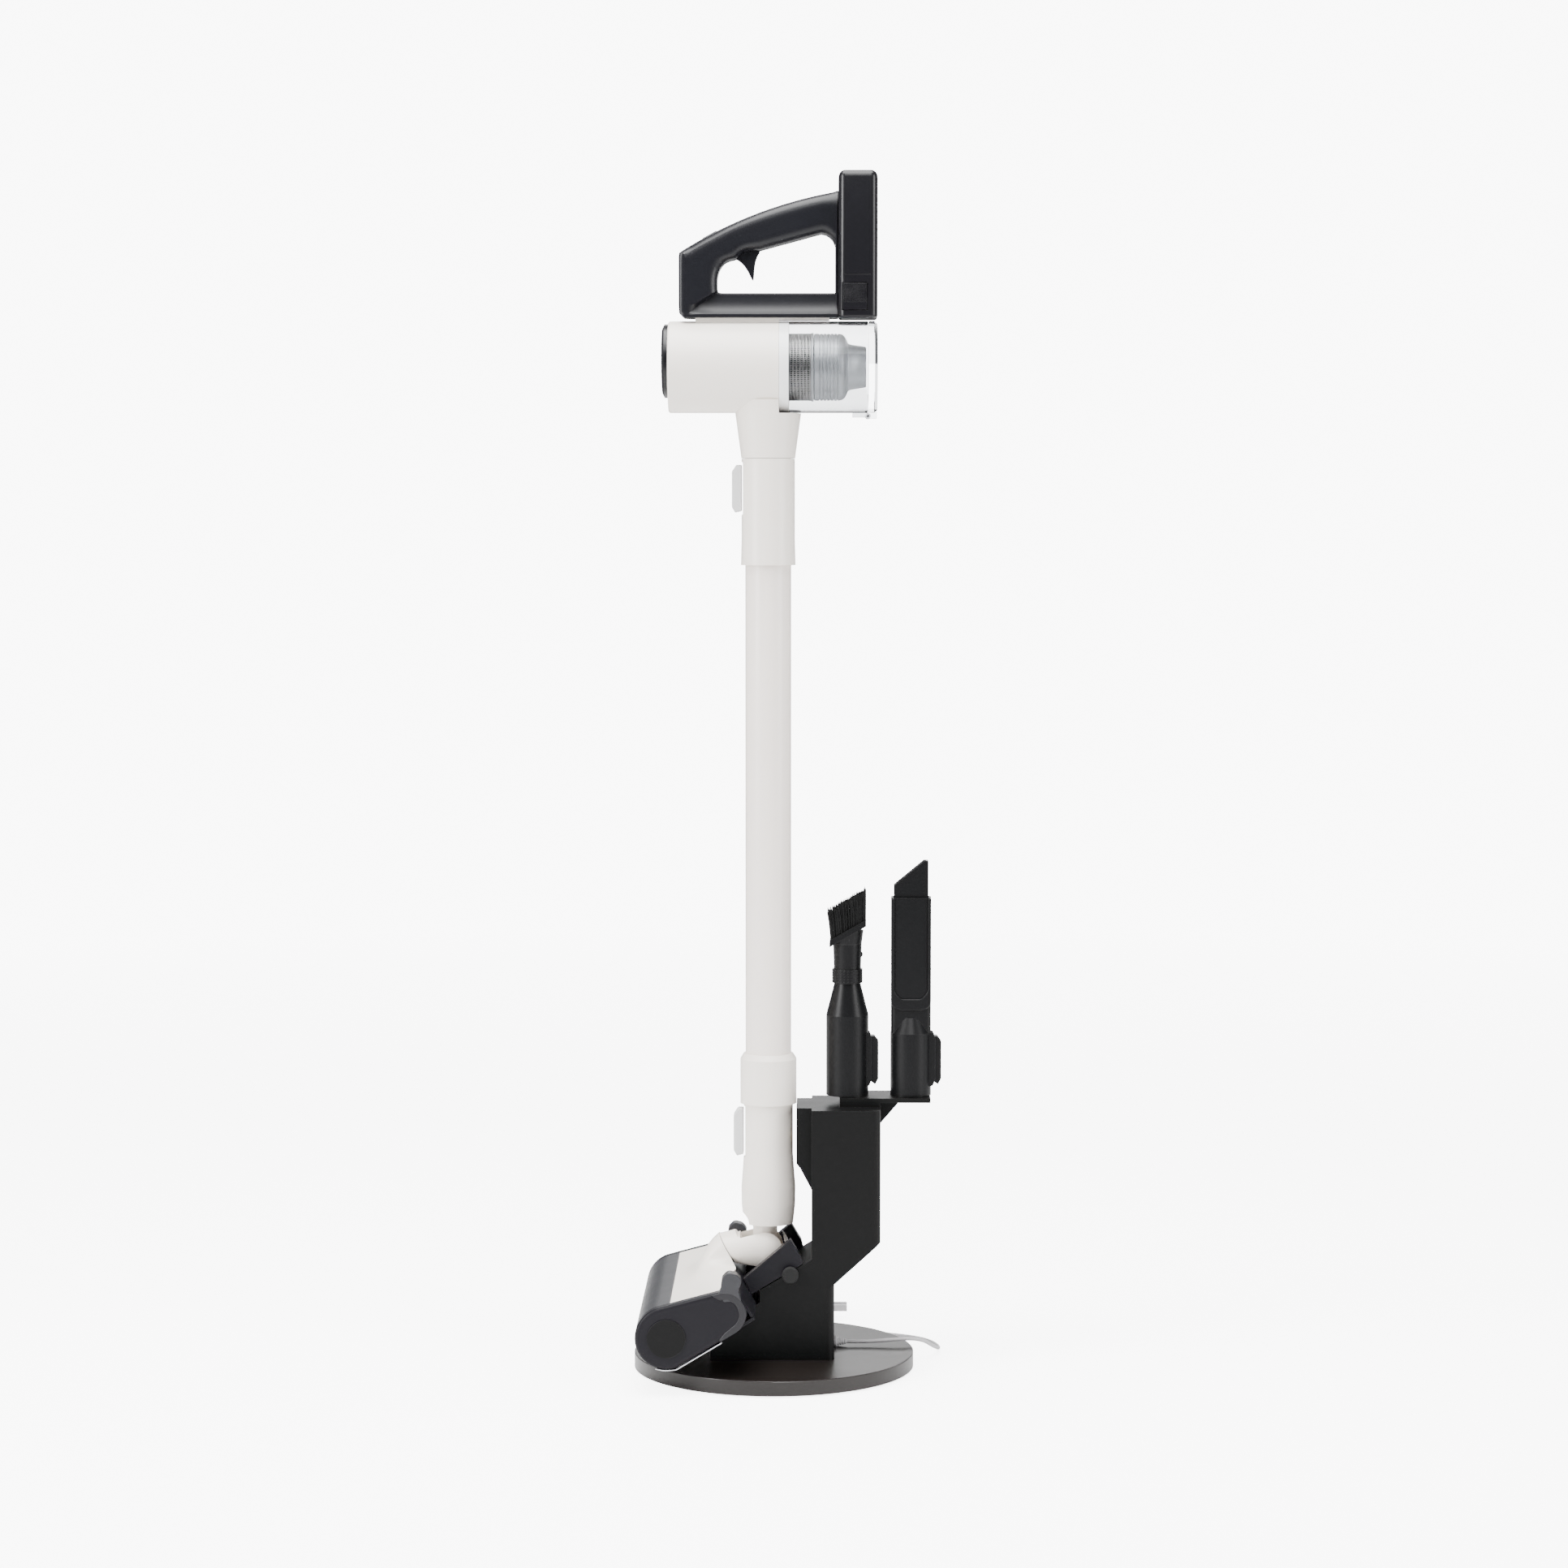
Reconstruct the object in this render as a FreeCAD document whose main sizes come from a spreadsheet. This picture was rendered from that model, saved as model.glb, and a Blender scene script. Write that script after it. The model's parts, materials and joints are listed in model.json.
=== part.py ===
import FreeCAD, Part
import math
import os
import re
import Sketcher
from FreeCAD import Placement, Rotation, Vector

# Cordless stick vacuum on its charging stand, in millimetres.
# Origin: centre of the round base's underside.  +Z up, +X towards the stand's column
# and the dust bin, +Y to the vacuum's right-hand side as it leans on the column.

DIMENSIONS = {
    # stand
    "disc_dia": 255, "disc_low": 1.5, "disc_top": 15, "disc_edge": 0.8,
    "pad_dia": 232,
    "column_half": 45, "column_front": -57, "column_rear": 55, "column_knee": 84.3,
    "column_back": 96.6, "column_back_low": 122.2, "column_top": 242.5,
    "column_face": 34.5, "ramp_high": 107, "ramp_front": -12, "ramp_low": 79,
    "sole_step": 67.5, "sole_front": 41, "column_round": 6,
    "tongue_face": 20.7, "tongue_low": 168, "tongue_bend_x": 24, "tongue_bend": 188,
    "tongue_half": 30, "contact_dia": 5, "contact_gap": 22, "contact_height": 215,
    "plate_left": 60, "plate_step": 96.6, "plate_right": 142, "plate_low": 246.5,
    "plate_top": 250.5, "plate_half": 24, "gusset_end": 116, "gusset_low": 224,
    "gusset_half": 3, "peg_dia": 24, "peg_top": 284,
    "gland_y": 15, "gland_height": 19.2, "gland_dia": 8, "cord_dia": 3.4,
    "coil_x": -20, "coil_y": 176, "coil_mid": 39, "coil_wide": 10.6, "coil_high": 13.8,
    "adapter_left": 12, "adapter_right": 52, "adapter_front": 182, "adapter_back": 214,
    "adapter_high": 26, "adapter_relief": 199,
    # tools on the bracket
    "brush_x": 66.8, "brush_dia": 38.4, "tool_low": 250.8, "brush_shoulder": 324,
    "brush_neck_dia": 23.6, "brush_neck": 353, "brush_throat_dia": 26, "brush_throat": 389,
    "tool_socket_dia": 24.8, "tool_socket_top": 292, "ring_low": 353.4, "ring_top": 366,
    "ring_dia": 27.4, "brush_head_half": 15,
    "crevice_x": 124.5, "crevice_dia": 37, "crevice_base_top": 322, "crevice_top": 431.5,
    "sleeve_wide": 36, "sleeve_deep": 20, "sleeve_bore_wide": 32.2, "sleeve_bore_deep": 15.2,
    "sleeve_low": 308, "tip_wide": 31, "tip_deep": 14, "tip_low": 345, "tip_short": 442.5,
    "tip_long": 464.8, "button_half": 6, "button_low": 262, "button_top": 305,
    # floor head, in the head's own frame: x rearwards along the sole, z away from the sole,
    # origin on the roller's axis
    "head_x": -93.5, "head_z": 52, "head_pitch": 31, "cover_half": 112.7,
    "side_in": 113, "side_out": 124, "shroud": 28, "shroud_in": 25.6, "rear_x": 55,
    "rear_z": -7.5, "rear_r": 20, "rear_in": 17.6, "sole": -27.5, "cap_dia": 34,
    "roller_dia": 49.4, "roller_z": -1, "core_dia": 24, "roller_half": 100, "spindle_dia": 8,
    "bearing_dia": 18, "motor_x": 45, "motor_z": -8, "motor_dia": 25, "pulley_dia": 12,
    "roller_pulley_dia": 20, "belt_thick": 1.5, "belt_in": 103.5, "belt_out": 108.5,
    "cheek_in": 33, "cheek_out": 45, "cheek_x": 131, "wheel_x": 115, "wheel_z": -20,
    "wheel_dia": 15, "wheel_in": 47.6, "wheel_out": 53.6, "hump_low": 9, "hump_high": 33,
    # steering elbow and nozzle neck
    "pivot_x": -8, "pivot_z": 110, "dome": 21.5, "spigot_dia": 24, "spigot_end": -46,
    "slot_half": 14.4, "stem_half": 14, "stem_r": 12, "neck_x": -5, "neck_low": 133,
    "neck_top": 242.8, "socket_dia": 36.6, "duct_dia": 28.6, "spigot_pipe_dia": 36,
    # wand
    "wand_x": -5, "tube_dia": 41.4, "tube_bore": 35, "collar_dia": 51, "lower_low": 243.2,
    "lower_top": 288.8, "upper_low": 732, "upper_top": 827.4, "upper_dia": 48,
    "stub_dia": 38, "stub_bore": 32, "stub_low": 786,
    # main unit
    "barrel_z": 909.4, "barrel_dia": 82, "barrel_front": -94.4, "barrel_rear": 4.8,
    "barrel_wall": 2.6, "barrel_edge": 1.2, "funnel_low": 827.8, "funnel_high": 880, "cap_z": 914.8,
    "front_cap_dia": 66, "front_cap_in": -94.2, "front_cap_out": -101,
    "ring_rear": 13.6, "bin_rear": 84.4, "bin_wall": 2, "lid_front": 84.8, "lid_rear": 92.9,
    "mesh_dia": 60, "mesh_rear": 36, "cone_rear": 61, "funnel_rear": 83,
    "hinge_z": 865.6, "hinge_x": 84.6, "pin_dia": 2.4, "knuckle_dia": 5,
    "rotor_dia": 60, "fan_can_dia": 56, "shaft_dia": 6,
    "grip_half": 17, "grip_low": 953, "bar_top": 975, "pillar_front": -84.8,
    "pillar_in": -50.5, "grip_back": 57.6, "loop_back": 55,
    "battery_front": 57.9, "battery_back": 92.8, "battery_low": 952.6, "battery_top": 1083,
    "battery_half": 30, "battery_wall": 1.8, "cell_dia": 18.2,
    "rail_half": 8, "rail_low": 962, "rail_top": 1040,
}

doc = FreeCAD.newDocument("StickVacuum")
sheet = doc.addObject("Spreadsheet::Sheet", "Dims")
for row, (alias, amount) in enumerate(DIMENSIONS.items(), start=1):
    sheet.set(f"A{row}", alias)
    sheet.set(f"B{row}", str(amount))
    sheet.setAlias(f"B{row}", alias)
doc.recompute()
SIZE = {alias: float(sheet.get(alias)) for alias in DIMENSIONS}

nodes = {}
X_AXIS, Y_AXIS, Z_AXIS = Vector(1, 0, 0), Vector(0, 1, 0), Vector(0, 0, 1)


# ---------------------------------------------------------------- helpers
def number(expression):
    """The value of a sum of products of dimension names and plain numbers."""
    total = 0.0
    for sign, product in re.findall(r"([+-]?)([^+-]+)", str(expression).replace(" ", "")):
        result = 1.0
        for operator, term in re.findall(r"([*/]?)([^*/]+)", product):
            amount = SIZE[term] if term in SIZE else float(term)
            result = result / amount if operator == "/" else result * amount
        total += -result if sign == "-" else result
    return total


def reference(expression):
    """The same expression with each dimension name pointing at its cell."""
    return re.sub(r"[a-z_]+", lambda name: "Dims." + name.group(0), str(expression))


def bind(thing, prop, expression):
    thing.setExpression(prop, reference(expression))


def point(x, y, z):
    return Vector(number(x), number(y), number(z))


def place(thing, x=0, y=0, z=0, axis="Z"):
    turn = {"X": Rotation(Y_AXIS, 90), "Y": Rotation(X_AXIS, -90), "Z": Rotation()}[axis]
    thing.Placement = Placement(point(x, y, z), turn)
    for letter, expression in zip("xyz", (x, y, z)):
        bind(thing, f"Placement.Base.{letter}", expression)
    return thing


def cylinder(radius, height, x=0, y=0, z=0, axis="Z"):
    thing = doc.addObject("Part::Cylinder", "Cylinder")
    bind(thing, "Radius", radius)
    bind(thing, "Height", height)
    return place(thing, x, y, z, axis)


def cone(radius_low, radius_high, height, x=0, y=0, z=0, axis="Z"):
    thing = doc.addObject("Part::Cone", "Cone")
    bind(thing, "Radius1", radius_low)
    bind(thing, "Radius2", radius_high)
    bind(thing, "Height", height)
    return place(thing, x, y, z, axis)


def sphere(radius, x=0, y=0, z=0):
    thing = doc.addObject("Part::Sphere", "Sphere")
    bind(thing, "Radius", radius)
    return place(thing, x, y, z)


def box(x_low, x_high, y_low, y_high, z_low, z_high):
    thing = doc.addObject("Part::Box", "Box")
    for prop, low, high in (("Length", x_low, x_high), ("Width", y_low, y_high),
                            ("Height", z_low, z_high)):
        thing.setExpression(prop, f"({reference(high)}) - ({reference(low)})")
    return place(thing, x_low, y_low, z_low)


def fuse(*things):
    result = doc.addObject("Part::MultiFuse", "Fuse")
    result.Shapes = list(things)
    result.Refine = True
    return result


def cut(base, *tools):
    result = doc.addObject("Part::Cut", "Cut")
    result.Base = base
    result.Tool = tools[0] if len(tools) == 1 else fuse(*tools)
    return result


def group(*things):
    result = doc.addObject("Part::Compound", "Group")
    result.Links = list(things)
    return result


def soften(thing, radius, pick):
    """Round the edges that pick() accepts."""
    doc.recompute()
    result = doc.addObject("Part::Fillet", "Soft")
    result.Base = thing
    edges = [(i, radius, radius) for i, edge in enumerate(thing.Shape.Edges, start=1)
             if pick(edge)]
    result.Edges = edges
    return result


def along(axis):
    """Straight edges that run along one axis."""
    def pick(edge):
        if not isinstance(edge.Curve, Part.Line):
            return False
        return abs(edge.Curve.Direction.dot(axis)) > 0.999
    return pick


def at_z(height):
    """Edges that lie wholly at one height."""
    def pick(edge):
        bounds = edge.BoundBox
        return abs(bounds.ZMin - height) < 1e-3 and abs(bounds.ZMax - height) < 1e-3
    return pick


def new_sketch(body, role, offset=0):
    sketch = body.newObject("Sketcher::SketchObject", "Profile")
    plane = [item for item in body.Origin.OriginFeatures if item.Role == role][0]
    sketch.AttachmentSupport = [(plane, "")]
    sketch.MapMode = "FlatFace"
    if offset:
        sketch.AttachmentOffset = Placement(Vector(0, 0, number(offset)), Rotation())
        bind(sketch, "AttachmentOffset.Base.z", offset)
    return sketch


def arc_between(start, end, radius, side):
    """Minor arc between two points; side -1 runs anticlockwise, +1 clockwise."""
    middle = (start + end) * 0.5
    half = (end - start).Length / 2
    left = Vector(-(end - start).y, (end - start).x, 0).normalize()
    centre = middle - left * (side * math.sqrt(max(radius ** 2 - half ** 2, 0)))
    first, last = (start, end) if side < 0 else (end, start)
    angles = [math.atan2(item.y - centre.y, item.x - centre.x) for item in (first, last)]
    return Part.ArcOfCircle(Part.Circle(centre, Z_AXIS, radius), *angles)


def draw(sketch, outline):
    """Closed outline of (x, y) corners; (x, y, radius, side) reaches its corner by an arc."""
    corners = [Vector(number(item[0]), number(item[1]), 0) for item in outline]
    count = len(corners)
    ends = []
    for i, item in enumerate(outline):
        start, end = corners[i - 1], corners[i]
        clockwise = len(item) == 4 and item[3] > 0
        ends.append((2, 1) if clockwise else (1, 2))
        if len(item) == 4:
            sketch.addGeometry(arc_between(start, end, number(item[2]), item[3]), False)
        else:
            sketch.addGeometry(Part.LineSegment(start, end), False)
    for i in range(count):
        following = (i + 1) % count
        sketch.addConstraint(Sketcher.Constraint(
            "Coincident", i, ends[i][1], following, ends[following][0]))
    for i, item in enumerate(outline):
        for kind, expression, amount in (("DistanceX", item[0], corners[i].x),
                                         ("DistanceY", item[1], corners[i].y)):
            index = sketch.addConstraint(Sketcher.Constraint(
                kind, -1, 1, i, ends[i][1], amount))
            sketch.setExpression(f"Constraints[{index}]", reference(expression))
        if len(item) == 4:
            index = sketch.addConstraint(Sketcher.Constraint("Radius", i, number(item[2])))
            sketch.setExpression(f"Constraints[{index}]", reference(item[2]))


def slab(outline, width, role="XZ_Plane"):
    """Body padded evenly to both sides of its profile."""
    body = doc.addObject("PartDesign::Body", "Body")
    sketch = new_sketch(body, role)
    draw(sketch, outline)
    pad = body.newObject("PartDesign::Pad", "Pad")
    pad.Profile = sketch
    pad.SideType = "Symmetric"
    bind(pad, "Length", width)
    return body


def turned(outline, axis="V_Axis", x=0, y=0, z=0):
    """Body revolved about its own Z axis (V_Axis) or X axis (H_Axis)."""
    body = doc.addObject("PartDesign::Body", "Body")
    sketch = new_sketch(body, "XZ_Plane")
    draw(sketch, outline)
    revolution = body.newObject("PartDesign::Revolution", "Revolution")
    revolution.Profile = sketch
    revolution.ReferenceAxis = (sketch, [axis])
    revolution.Angle = 360
    return place(body, x, y, z)


def pipe(radius, bore, low, high):
    """Outline of a pipe wall for turned()."""
    return [(bore, low), (radius, low), (radius, high), (bore, high)]


def keep(name, thing):
    thing.Label = name
    nodes[name] = thing
    return thing


# ---------------------------------------------------------------- stand
def make_base():
    disc = doc.addObject("PartDesign::Body", "Body")
    sketch = new_sketch(disc, "XY_Plane", "disc_low")
    circle = sketch.addGeometry(Part.Circle(Vector(), Z_AXIS, SIZE["disc_dia"] / 2), False)
    sketch.addConstraint(Sketcher.Constraint("Coincident", circle, 3, -1, 1))
    index = sketch.addConstraint(Sketcher.Constraint("Diameter", circle, SIZE["disc_dia"]))
    sketch.setExpression(f"Constraints[{index}]", "Dims.disc_dia")
    pad = disc.newObject("PartDesign::Pad", "Pad")
    pad.Profile = sketch
    bind(pad, "Length", "disc_top - disc_low")
    doc.recompute()
    rounding = disc.newObject("PartDesign::Fillet", "Rounding")
    rounding.Base = (pad, [f"Edge{i}" for i, edge in enumerate(pad.Shape.Edges, start=1)
                           if at_z(SIZE["disc_top"])(edge)])
    bind(rounding, "Radius", "disc_edge")
    keep("base_disc", disc)
    keep("base_pad", cylinder("pad_dia/2", "disc_low"))


def make_column():
    body = slab([("column_front", "disc_top"), ("column_rear", "disc_top"),
                 ("column_rear", "column_knee"), ("column_back", "column_back_low"),
                 ("column_back", "column_top"), ("column_face", "column_top"),
                 ("column_face", "ramp_high"), ("ramp_front", "ramp_low"),
                 ("ramp_front", "sole_step"), ("column_front", "sole_front")],
                "column_half*2")
    doc.recompute()
    back = SIZE["column_back"]
    rear = SIZE["column_rear"]

    def rear_corner(edge):
        upright = along(Z_AXIS)(edge)
        return upright and min(abs(edge.BoundBox.XMin - back), abs(edge.BoundBox.XMin - rear)) < 1e-3
    column = soften(body, SIZE["column_round"], rear_corner)
    keep("stand_column", column)
    tongue = slab([("column_face", "tongue_low"), ("column_face", "column_top"),
                   ("tongue_face", "column_top"), ("tongue_face", "tongue_bend+4"),
                   ("tongue_bend_x", "tongue_bend")], "tongue_half*2")
    contacts = [cylinder("contact_dia/2", 1.6, "tongue_face+0.4", side, "contact_height", "X")
                for side in ("contact_gap/2", "-contact_gap/2")]
    pockets = [cylinder("contact_dia/2", 1.6, "tongue_face+0.4", side, "contact_height", "X")
               for side in ("contact_gap/2", "-contact_gap/2")]
    mouths = [cylinder("contact_dia/2", 1, "tongue_face-0.5", side, "contact_height", "X")
              for side in ("contact_gap/2", "-contact_gap/2")]
    keep("charge_tongue", cut(tongue, *pockets, *mouths))
    keep("charge_contacts", group(*contacts))
    keep("cable_gland", turned(
        [("cord_dia/2", 0), ("gland_dia/2", 0), ("gland_dia/2", 3), (2.6, 12), ("cord_dia/2", 12)],
        "V_Axis", "column_rear", "gland_y", "gland_height"))
    nodes["cable_gland"].Placement = Placement(
        point("column_rear", "gland_y", "gland_height"), Rotation(Y_AXIS, 90))


def make_bracket():
    plate = slab([("plate_left", "column_top"), ("plate_step", "column_top"),
                  ("plate_step", "gusset_low"), ("gusset_end", "plate_low"),
                  ("plate_right", "plate_low"), ("plate_right", "plate_top"),
                  ("plate_left", "plate_top")], "plate_half*2")
    trims = [box("plate_step", "gusset_end+1", low, high, "gusset_low-1", "plate_low")
             for low, high in (("-plate_half-1", "-gusset_half"), ("gusset_half", "plate_half+1"))]
    pegs = [cylinder("peg_dia/2", "peg_top-plate_top", x, 0, "plate_top")
            for x in ("brush_x", "crevice_x")]
    keep("tool_bracket", fuse(cut(plate, *trims), *pegs))


# the lead's route, from the gland to the coil; the last point is on the coil's outside
CORD_ROUTE = [
    (67, 15, 19.2), (84, 15, 18.9), (105, 15.6, 20.3), (123, 18, 21.4), (137, 25, 18.6),
    (147, 38, 9.8), (153, 56, 3.4), (152, 76, 1.8), (145, 96, 1.9), (130, 112, 1.8),
    (109, 122, 1.9), (86, 130, 1.8), (61, 137, 1.9), (37, 143.5, 1.8), (12, 149, 1.9),
    (-8, 152.8, 1.9)]


def cord_path():
    """Straight runs joined by tangent arcs through the route's corners."""
    route = [Vector(*item) for item in CORD_ROUTE]
    edges, here = [], route[0]
    for before, corner, after in zip(route, route[1:], route[2:]):
        inward = (before - corner).normalize()
        outward = (after - corner).normalize()
        reach = 0.45 * min((before - corner).Length, (after - corner).Length)
        half_turn = (math.pi - inward.getAngle(outward)) / 2
        radius = reach / math.tan(half_turn)
        print(f"lead turn {math.degrees(2 * half_turn):.0f} deg, radius {radius:.0f} mm")
        start, end = corner + inward * reach, corner + outward * reach
        bisector = (inward + outward).normalize()
        middle = corner + bisector * (radius / math.cos(half_turn) - radius)
        edges += [Part.LineSegment(here, start).toShape(), Part.Arc(start, middle, end).toShape()]
        here = end
    edges.append(Part.LineSegment(here, route[-1]).toShape())
    return Part.Wire(edges)


def make_cord():
    path = cord_path()
    radius = SIZE["cord_dia"] / 2
    direction = (Vector(*CORD_ROUTE[1]) - Vector(*CORD_ROUTE[0])).normalize()
    ring = Part.Wire([Part.Circle(Vector(*CORD_ROUTE[0]), direction, radius).toShape()])
    tube = path.makePipeShell([ring], True, False)
    expected = math.pi * radius ** 2 * path.Length
    print(f"lead length {path.Length:.1f} mm, volume {tube.Volume:.0f} for {expected:.0f}")
    cord = doc.addObject("Part::Feature", "Lead")
    cord.Shape = tube
    cord.Placement = Placement()
    keep("charger_cord", cord)
    coil = turned(pipe("coil_mid/2+coil_wide/2", "coil_mid/2-coil_wide/2", 0, "coil_high"),
                  "V_Axis", "coil_x", "coil_y", 0)
    keep("cord_coil", coil)
    body = soften(box("adapter_left", "adapter_right", "adapter_front", "adapter_back", 0,
                      "adapter_high"), 3, lambda edge: edge.BoundBox.ZMin > 0.1)
    relief = cone(1.9, 3.4, 17, "adapter_left-17", "adapter_relief", 12.1, "X")
    pins = [box("adapter_right", "adapter_right+16", f"adapter_relief{y}-1.5",
                f"adapter_relief{y}+1.5", 9, 15) for y in ("-6.5", "+6.5")]
    keep("charger_plug", fuse(body, relief, *pins))


# ---------------------------------------------------------------- tools
def tool_button(x, facing):
    """Thumb button with a hooked lower end; facing +X."""
    return slab([(x, "button_low+3"), (f"{x}+6", "button_low-1.4"), (f"{x}+8.8", "button_low+4"),
                 (f"{x}+8.8", "button_top-5"), (f"{x}+5", "button_top"), (x, "button_top")],
                "button_half*2")


def make_brush_tool():
    r_in = "tool_socket_dia/2"
    body = turned([(r_in, "tool_low"), ("brush_dia/2", "tool_low"),
                   ("brush_dia/2", "brush_shoulder"), ("brush_neck_dia/2", "brush_neck"),
                   ("brush_throat_dia/2", "brush_throat"), (6, "brush_throat"),
                   (6, "tool_socket_top+12"), (r_in, "tool_socket_top")],
                  "V_Axis", "brush_x", 0, 0)
    pocket = box("brush_x+17", "brush_x+21", "-button_half-0.5", "button_half+0.5",
                 "button_low+1", "button_top+1")
    ring = turned([(9, "ring_low"), ("ring_dia/2", "ring_low"), ("ring_dia/2", "ring_top"),
                   (9, "ring_top")], "V_Axis", "brush_x", 0, 0)
    keep("brush_tool_body", cut(fuse(body, ring), pocket))
    head = slab([("brush_x-16.4", "brush_throat-2"), ("brush_x+16.8", "brush_throat+17"),
                 ("brush_x+16.8", "brush_throat+23"), ("brush_x-15.6", "brush_throat+4.6")],
                "brush_head_half*2")
    tufts = slab([("brush_x-15.2", "brush_throat+5.2"), ("brush_x+16.4", "brush_throat+23.1"),
                  ("brush_x+16.6", "brush_throat+50"), ("brush_x-18.4", "brush_throat+30")],
                 "brush_head_half*2-4")
    stalk = cone("brush_throat_dia/2", "brush_throat_dia/2+1.6", 12, "brush_x", 0,
                 "brush_throat+0.01")
    above = slab([("brush_x-15.6", "brush_throat+4.6"), ("brush_x+16.8", "brush_throat+23"),
                  ("brush_x+16.8", "brush_throat+40"), ("brush_x-40", "brush_throat+40"),
                  ("brush_x-40", "brush_throat+4.6")], 60)
    keep("brush_head", cut(fuse(head, stalk), above,
                           cylinder(6, 40, "brush_x", 0, "brush_throat-12"),
                           cylinder("brush_throat_dia/2+0.1", 14, "brush_x", 0,
                                    "brush_throat-14")))
    keep("brush_bristles", tufts)
    keep("brush_button", tool_button("brush_x+19.4", 1))


def make_crevice_tool():
    r_in = "tool_socket_dia/2"
    base = turned([(0, "tool_low"), ("crevice_dia/2", "tool_low"),
                   ("crevice_dia/2", "crevice_base_top-14"), (11, "crevice_base_top"),
                   (0, "crevice_base_top")], "V_Axis", "crevice_x", 0, 0)
    sleeve = box("crevice_x-sleeve_wide/2", "crevice_x+sleeve_wide/2", "-sleeve_deep/2",
                 "sleeve_deep/2", "sleeve_low", "crevice_top")
    sleeve = soften(sleeve, 4, along(Z_AXIS))
    bore = box("crevice_x-sleeve_bore_wide/2", "crevice_x+sleeve_bore_wide/2",
               "-sleeve_bore_deep/2", "sleeve_bore_deep/2", "sleeve_low+20", "crevice_top+1")
    socket = cylinder(r_in, "tool_socket_top-tool_low+1", "crevice_x", 0, "tool_low-1")
    duct = cylinder(6.5, 60, "crevice_x", 0, "tool_socket_top-5")
    pocket = box("crevice_x+16.4", "crevice_x+21", "-button_half-0.5", "button_half+0.5",
                 "button_low+1", "button_top+1")
    keep("crevice_sleeve", cut(fuse(base, sleeve), bore, socket, duct, pocket))
    tip = slab([("crevice_x-tip_wide/2", "tip_low"), ("crevice_x+tip_wide/2", "tip_low"),
                ("crevice_x+tip_wide/2", "tip_long"), ("crevice_x+tip_wide/2-4", "tip_long"),
                ("crevice_x-tip_wide/2", "tip_short")], "tip_deep")
    hollow = box("crevice_x-tip_wide/2+2", "crevice_x+tip_wide/2-2", "-tip_deep/2+2",
                 "tip_deep/2-2", "tip_low-1", "tip_long+1")
    keep("crevice_tip", cut(tip, hollow))
    keep("crevice_button", tool_button("crevice_x+18.7", 1))


# ---------------------------------------------------------------- floor head
HEAD_PLACE = Placement(point("head_x", 0, "head_z"), Rotation(Y_AXIS, -SIZE["head_pitch"]))


def pitched(thing):
    """Move a head piece from the head's own frame to its parked place."""
    thing.Placement = HEAD_PLACE.multiply(thing.Placement)
    return thing


def tangent_points(front, rear):
    """Where the straight top edge leaves the front and rear circles of the side outline."""
    dx, dz = SIZE["rear_x"], SIZE["rear_z"]
    slope = math.atan2(dz, dx) - math.asin((front - rear) / math.hypot(dx, dz))
    normal = slope + math.pi / 2
    first = (front * math.cos(normal), front * math.sin(normal))
    second = (dx + rear * math.cos(normal), dz + rear * math.sin(normal))
    return first, second, slope


def head_outline(front, rear, sole):
    """Side outline of the head: two circles, a straight top and a flat sole."""
    first, second, slope = tangent_points(front, rear)
    low_front = -math.sqrt(front ** 2 - sole ** 2)
    low_rear = SIZE["rear_x"] + math.sqrt(max(rear ** 2 - (sole - SIZE["rear_z"]) ** 2, 0))
    return [(f"{low_front:.4f}", f"{sole:.4f}"), (f"{low_rear:.4f}", f"{sole:.4f}"),
            (f"{SIZE['rear_x'] + rear:.4f}", f"{SIZE['rear_z']:.4f}", f"{rear:.4f}", -1),
            (f"{second[0]:.4f}", f"{second[1]:.4f}", f"{rear:.4f}", -1),
            (f"{first[0]:.4f}", f"{first[1]:.4f}"),
            (f"{-front:.4f}", "0", f"{front:.4f}", -1),
            (f"{low_front:.4f}", f"{sole:.4f}", f"{front:.4f}", -1)][1:]


def make_side_covers():
    for name, side in (("side_cover_left", -1), ("side_cover_right", 1)):
        body = slab(head_outline(SIZE["shroud"], SIZE["rear_r"], SIZE["sole"] + 0.6),
                    "side_out-side_in")
        body.Placement.Base = Vector(0, side * (SIZE["side_in"] + SIZE["side_out"]) / 2, 0)
        outer = side * SIZE["side_out"]
        cover = soften(body, 3, lambda edge: abs(edge.BoundBox.YMin - outer) < 1e-3
                       and abs(edge.BoundBox.YMax - outer) < 1e-3)
        seat = cylinder("bearing_dia/2+0.02", 5.2, 0, 0, "roller_z", "Y")
        seat.setExpression("Placement.Base.y", None)
        seat.Placement.Base.y = side * SIZE["side_in"] - (0.2 if side > 0 else 5)
        keep(name, pitched(cut(cover, seat)))


def elbow_room():
    """Space for the elbow's dome, in the head's own frame."""
    room = doc.addObject("Part::Sphere", "Room")
    bind(room, "Radius", "dome+1")
    room.Placement = HEAD_PLACE.inverse().multiply(
        Placement(point("pivot_x", 0, "pivot_z"), Rotation()))
    return room


def spigot_room():
    """Bore for the elbow's spigot, in the head's own frame."""
    room = doc.addObject("Part::Cylinder", "Room")
    bind(room, "Radius", "spigot_dia/2+0.3")
    room.Height = 40
    room.Placement = HEAD_PLACE.inverse().multiply(
        Placement(point(-62, 0, "pivot_z"), Rotation(Y_AXIS, 90)))
    return room


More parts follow.
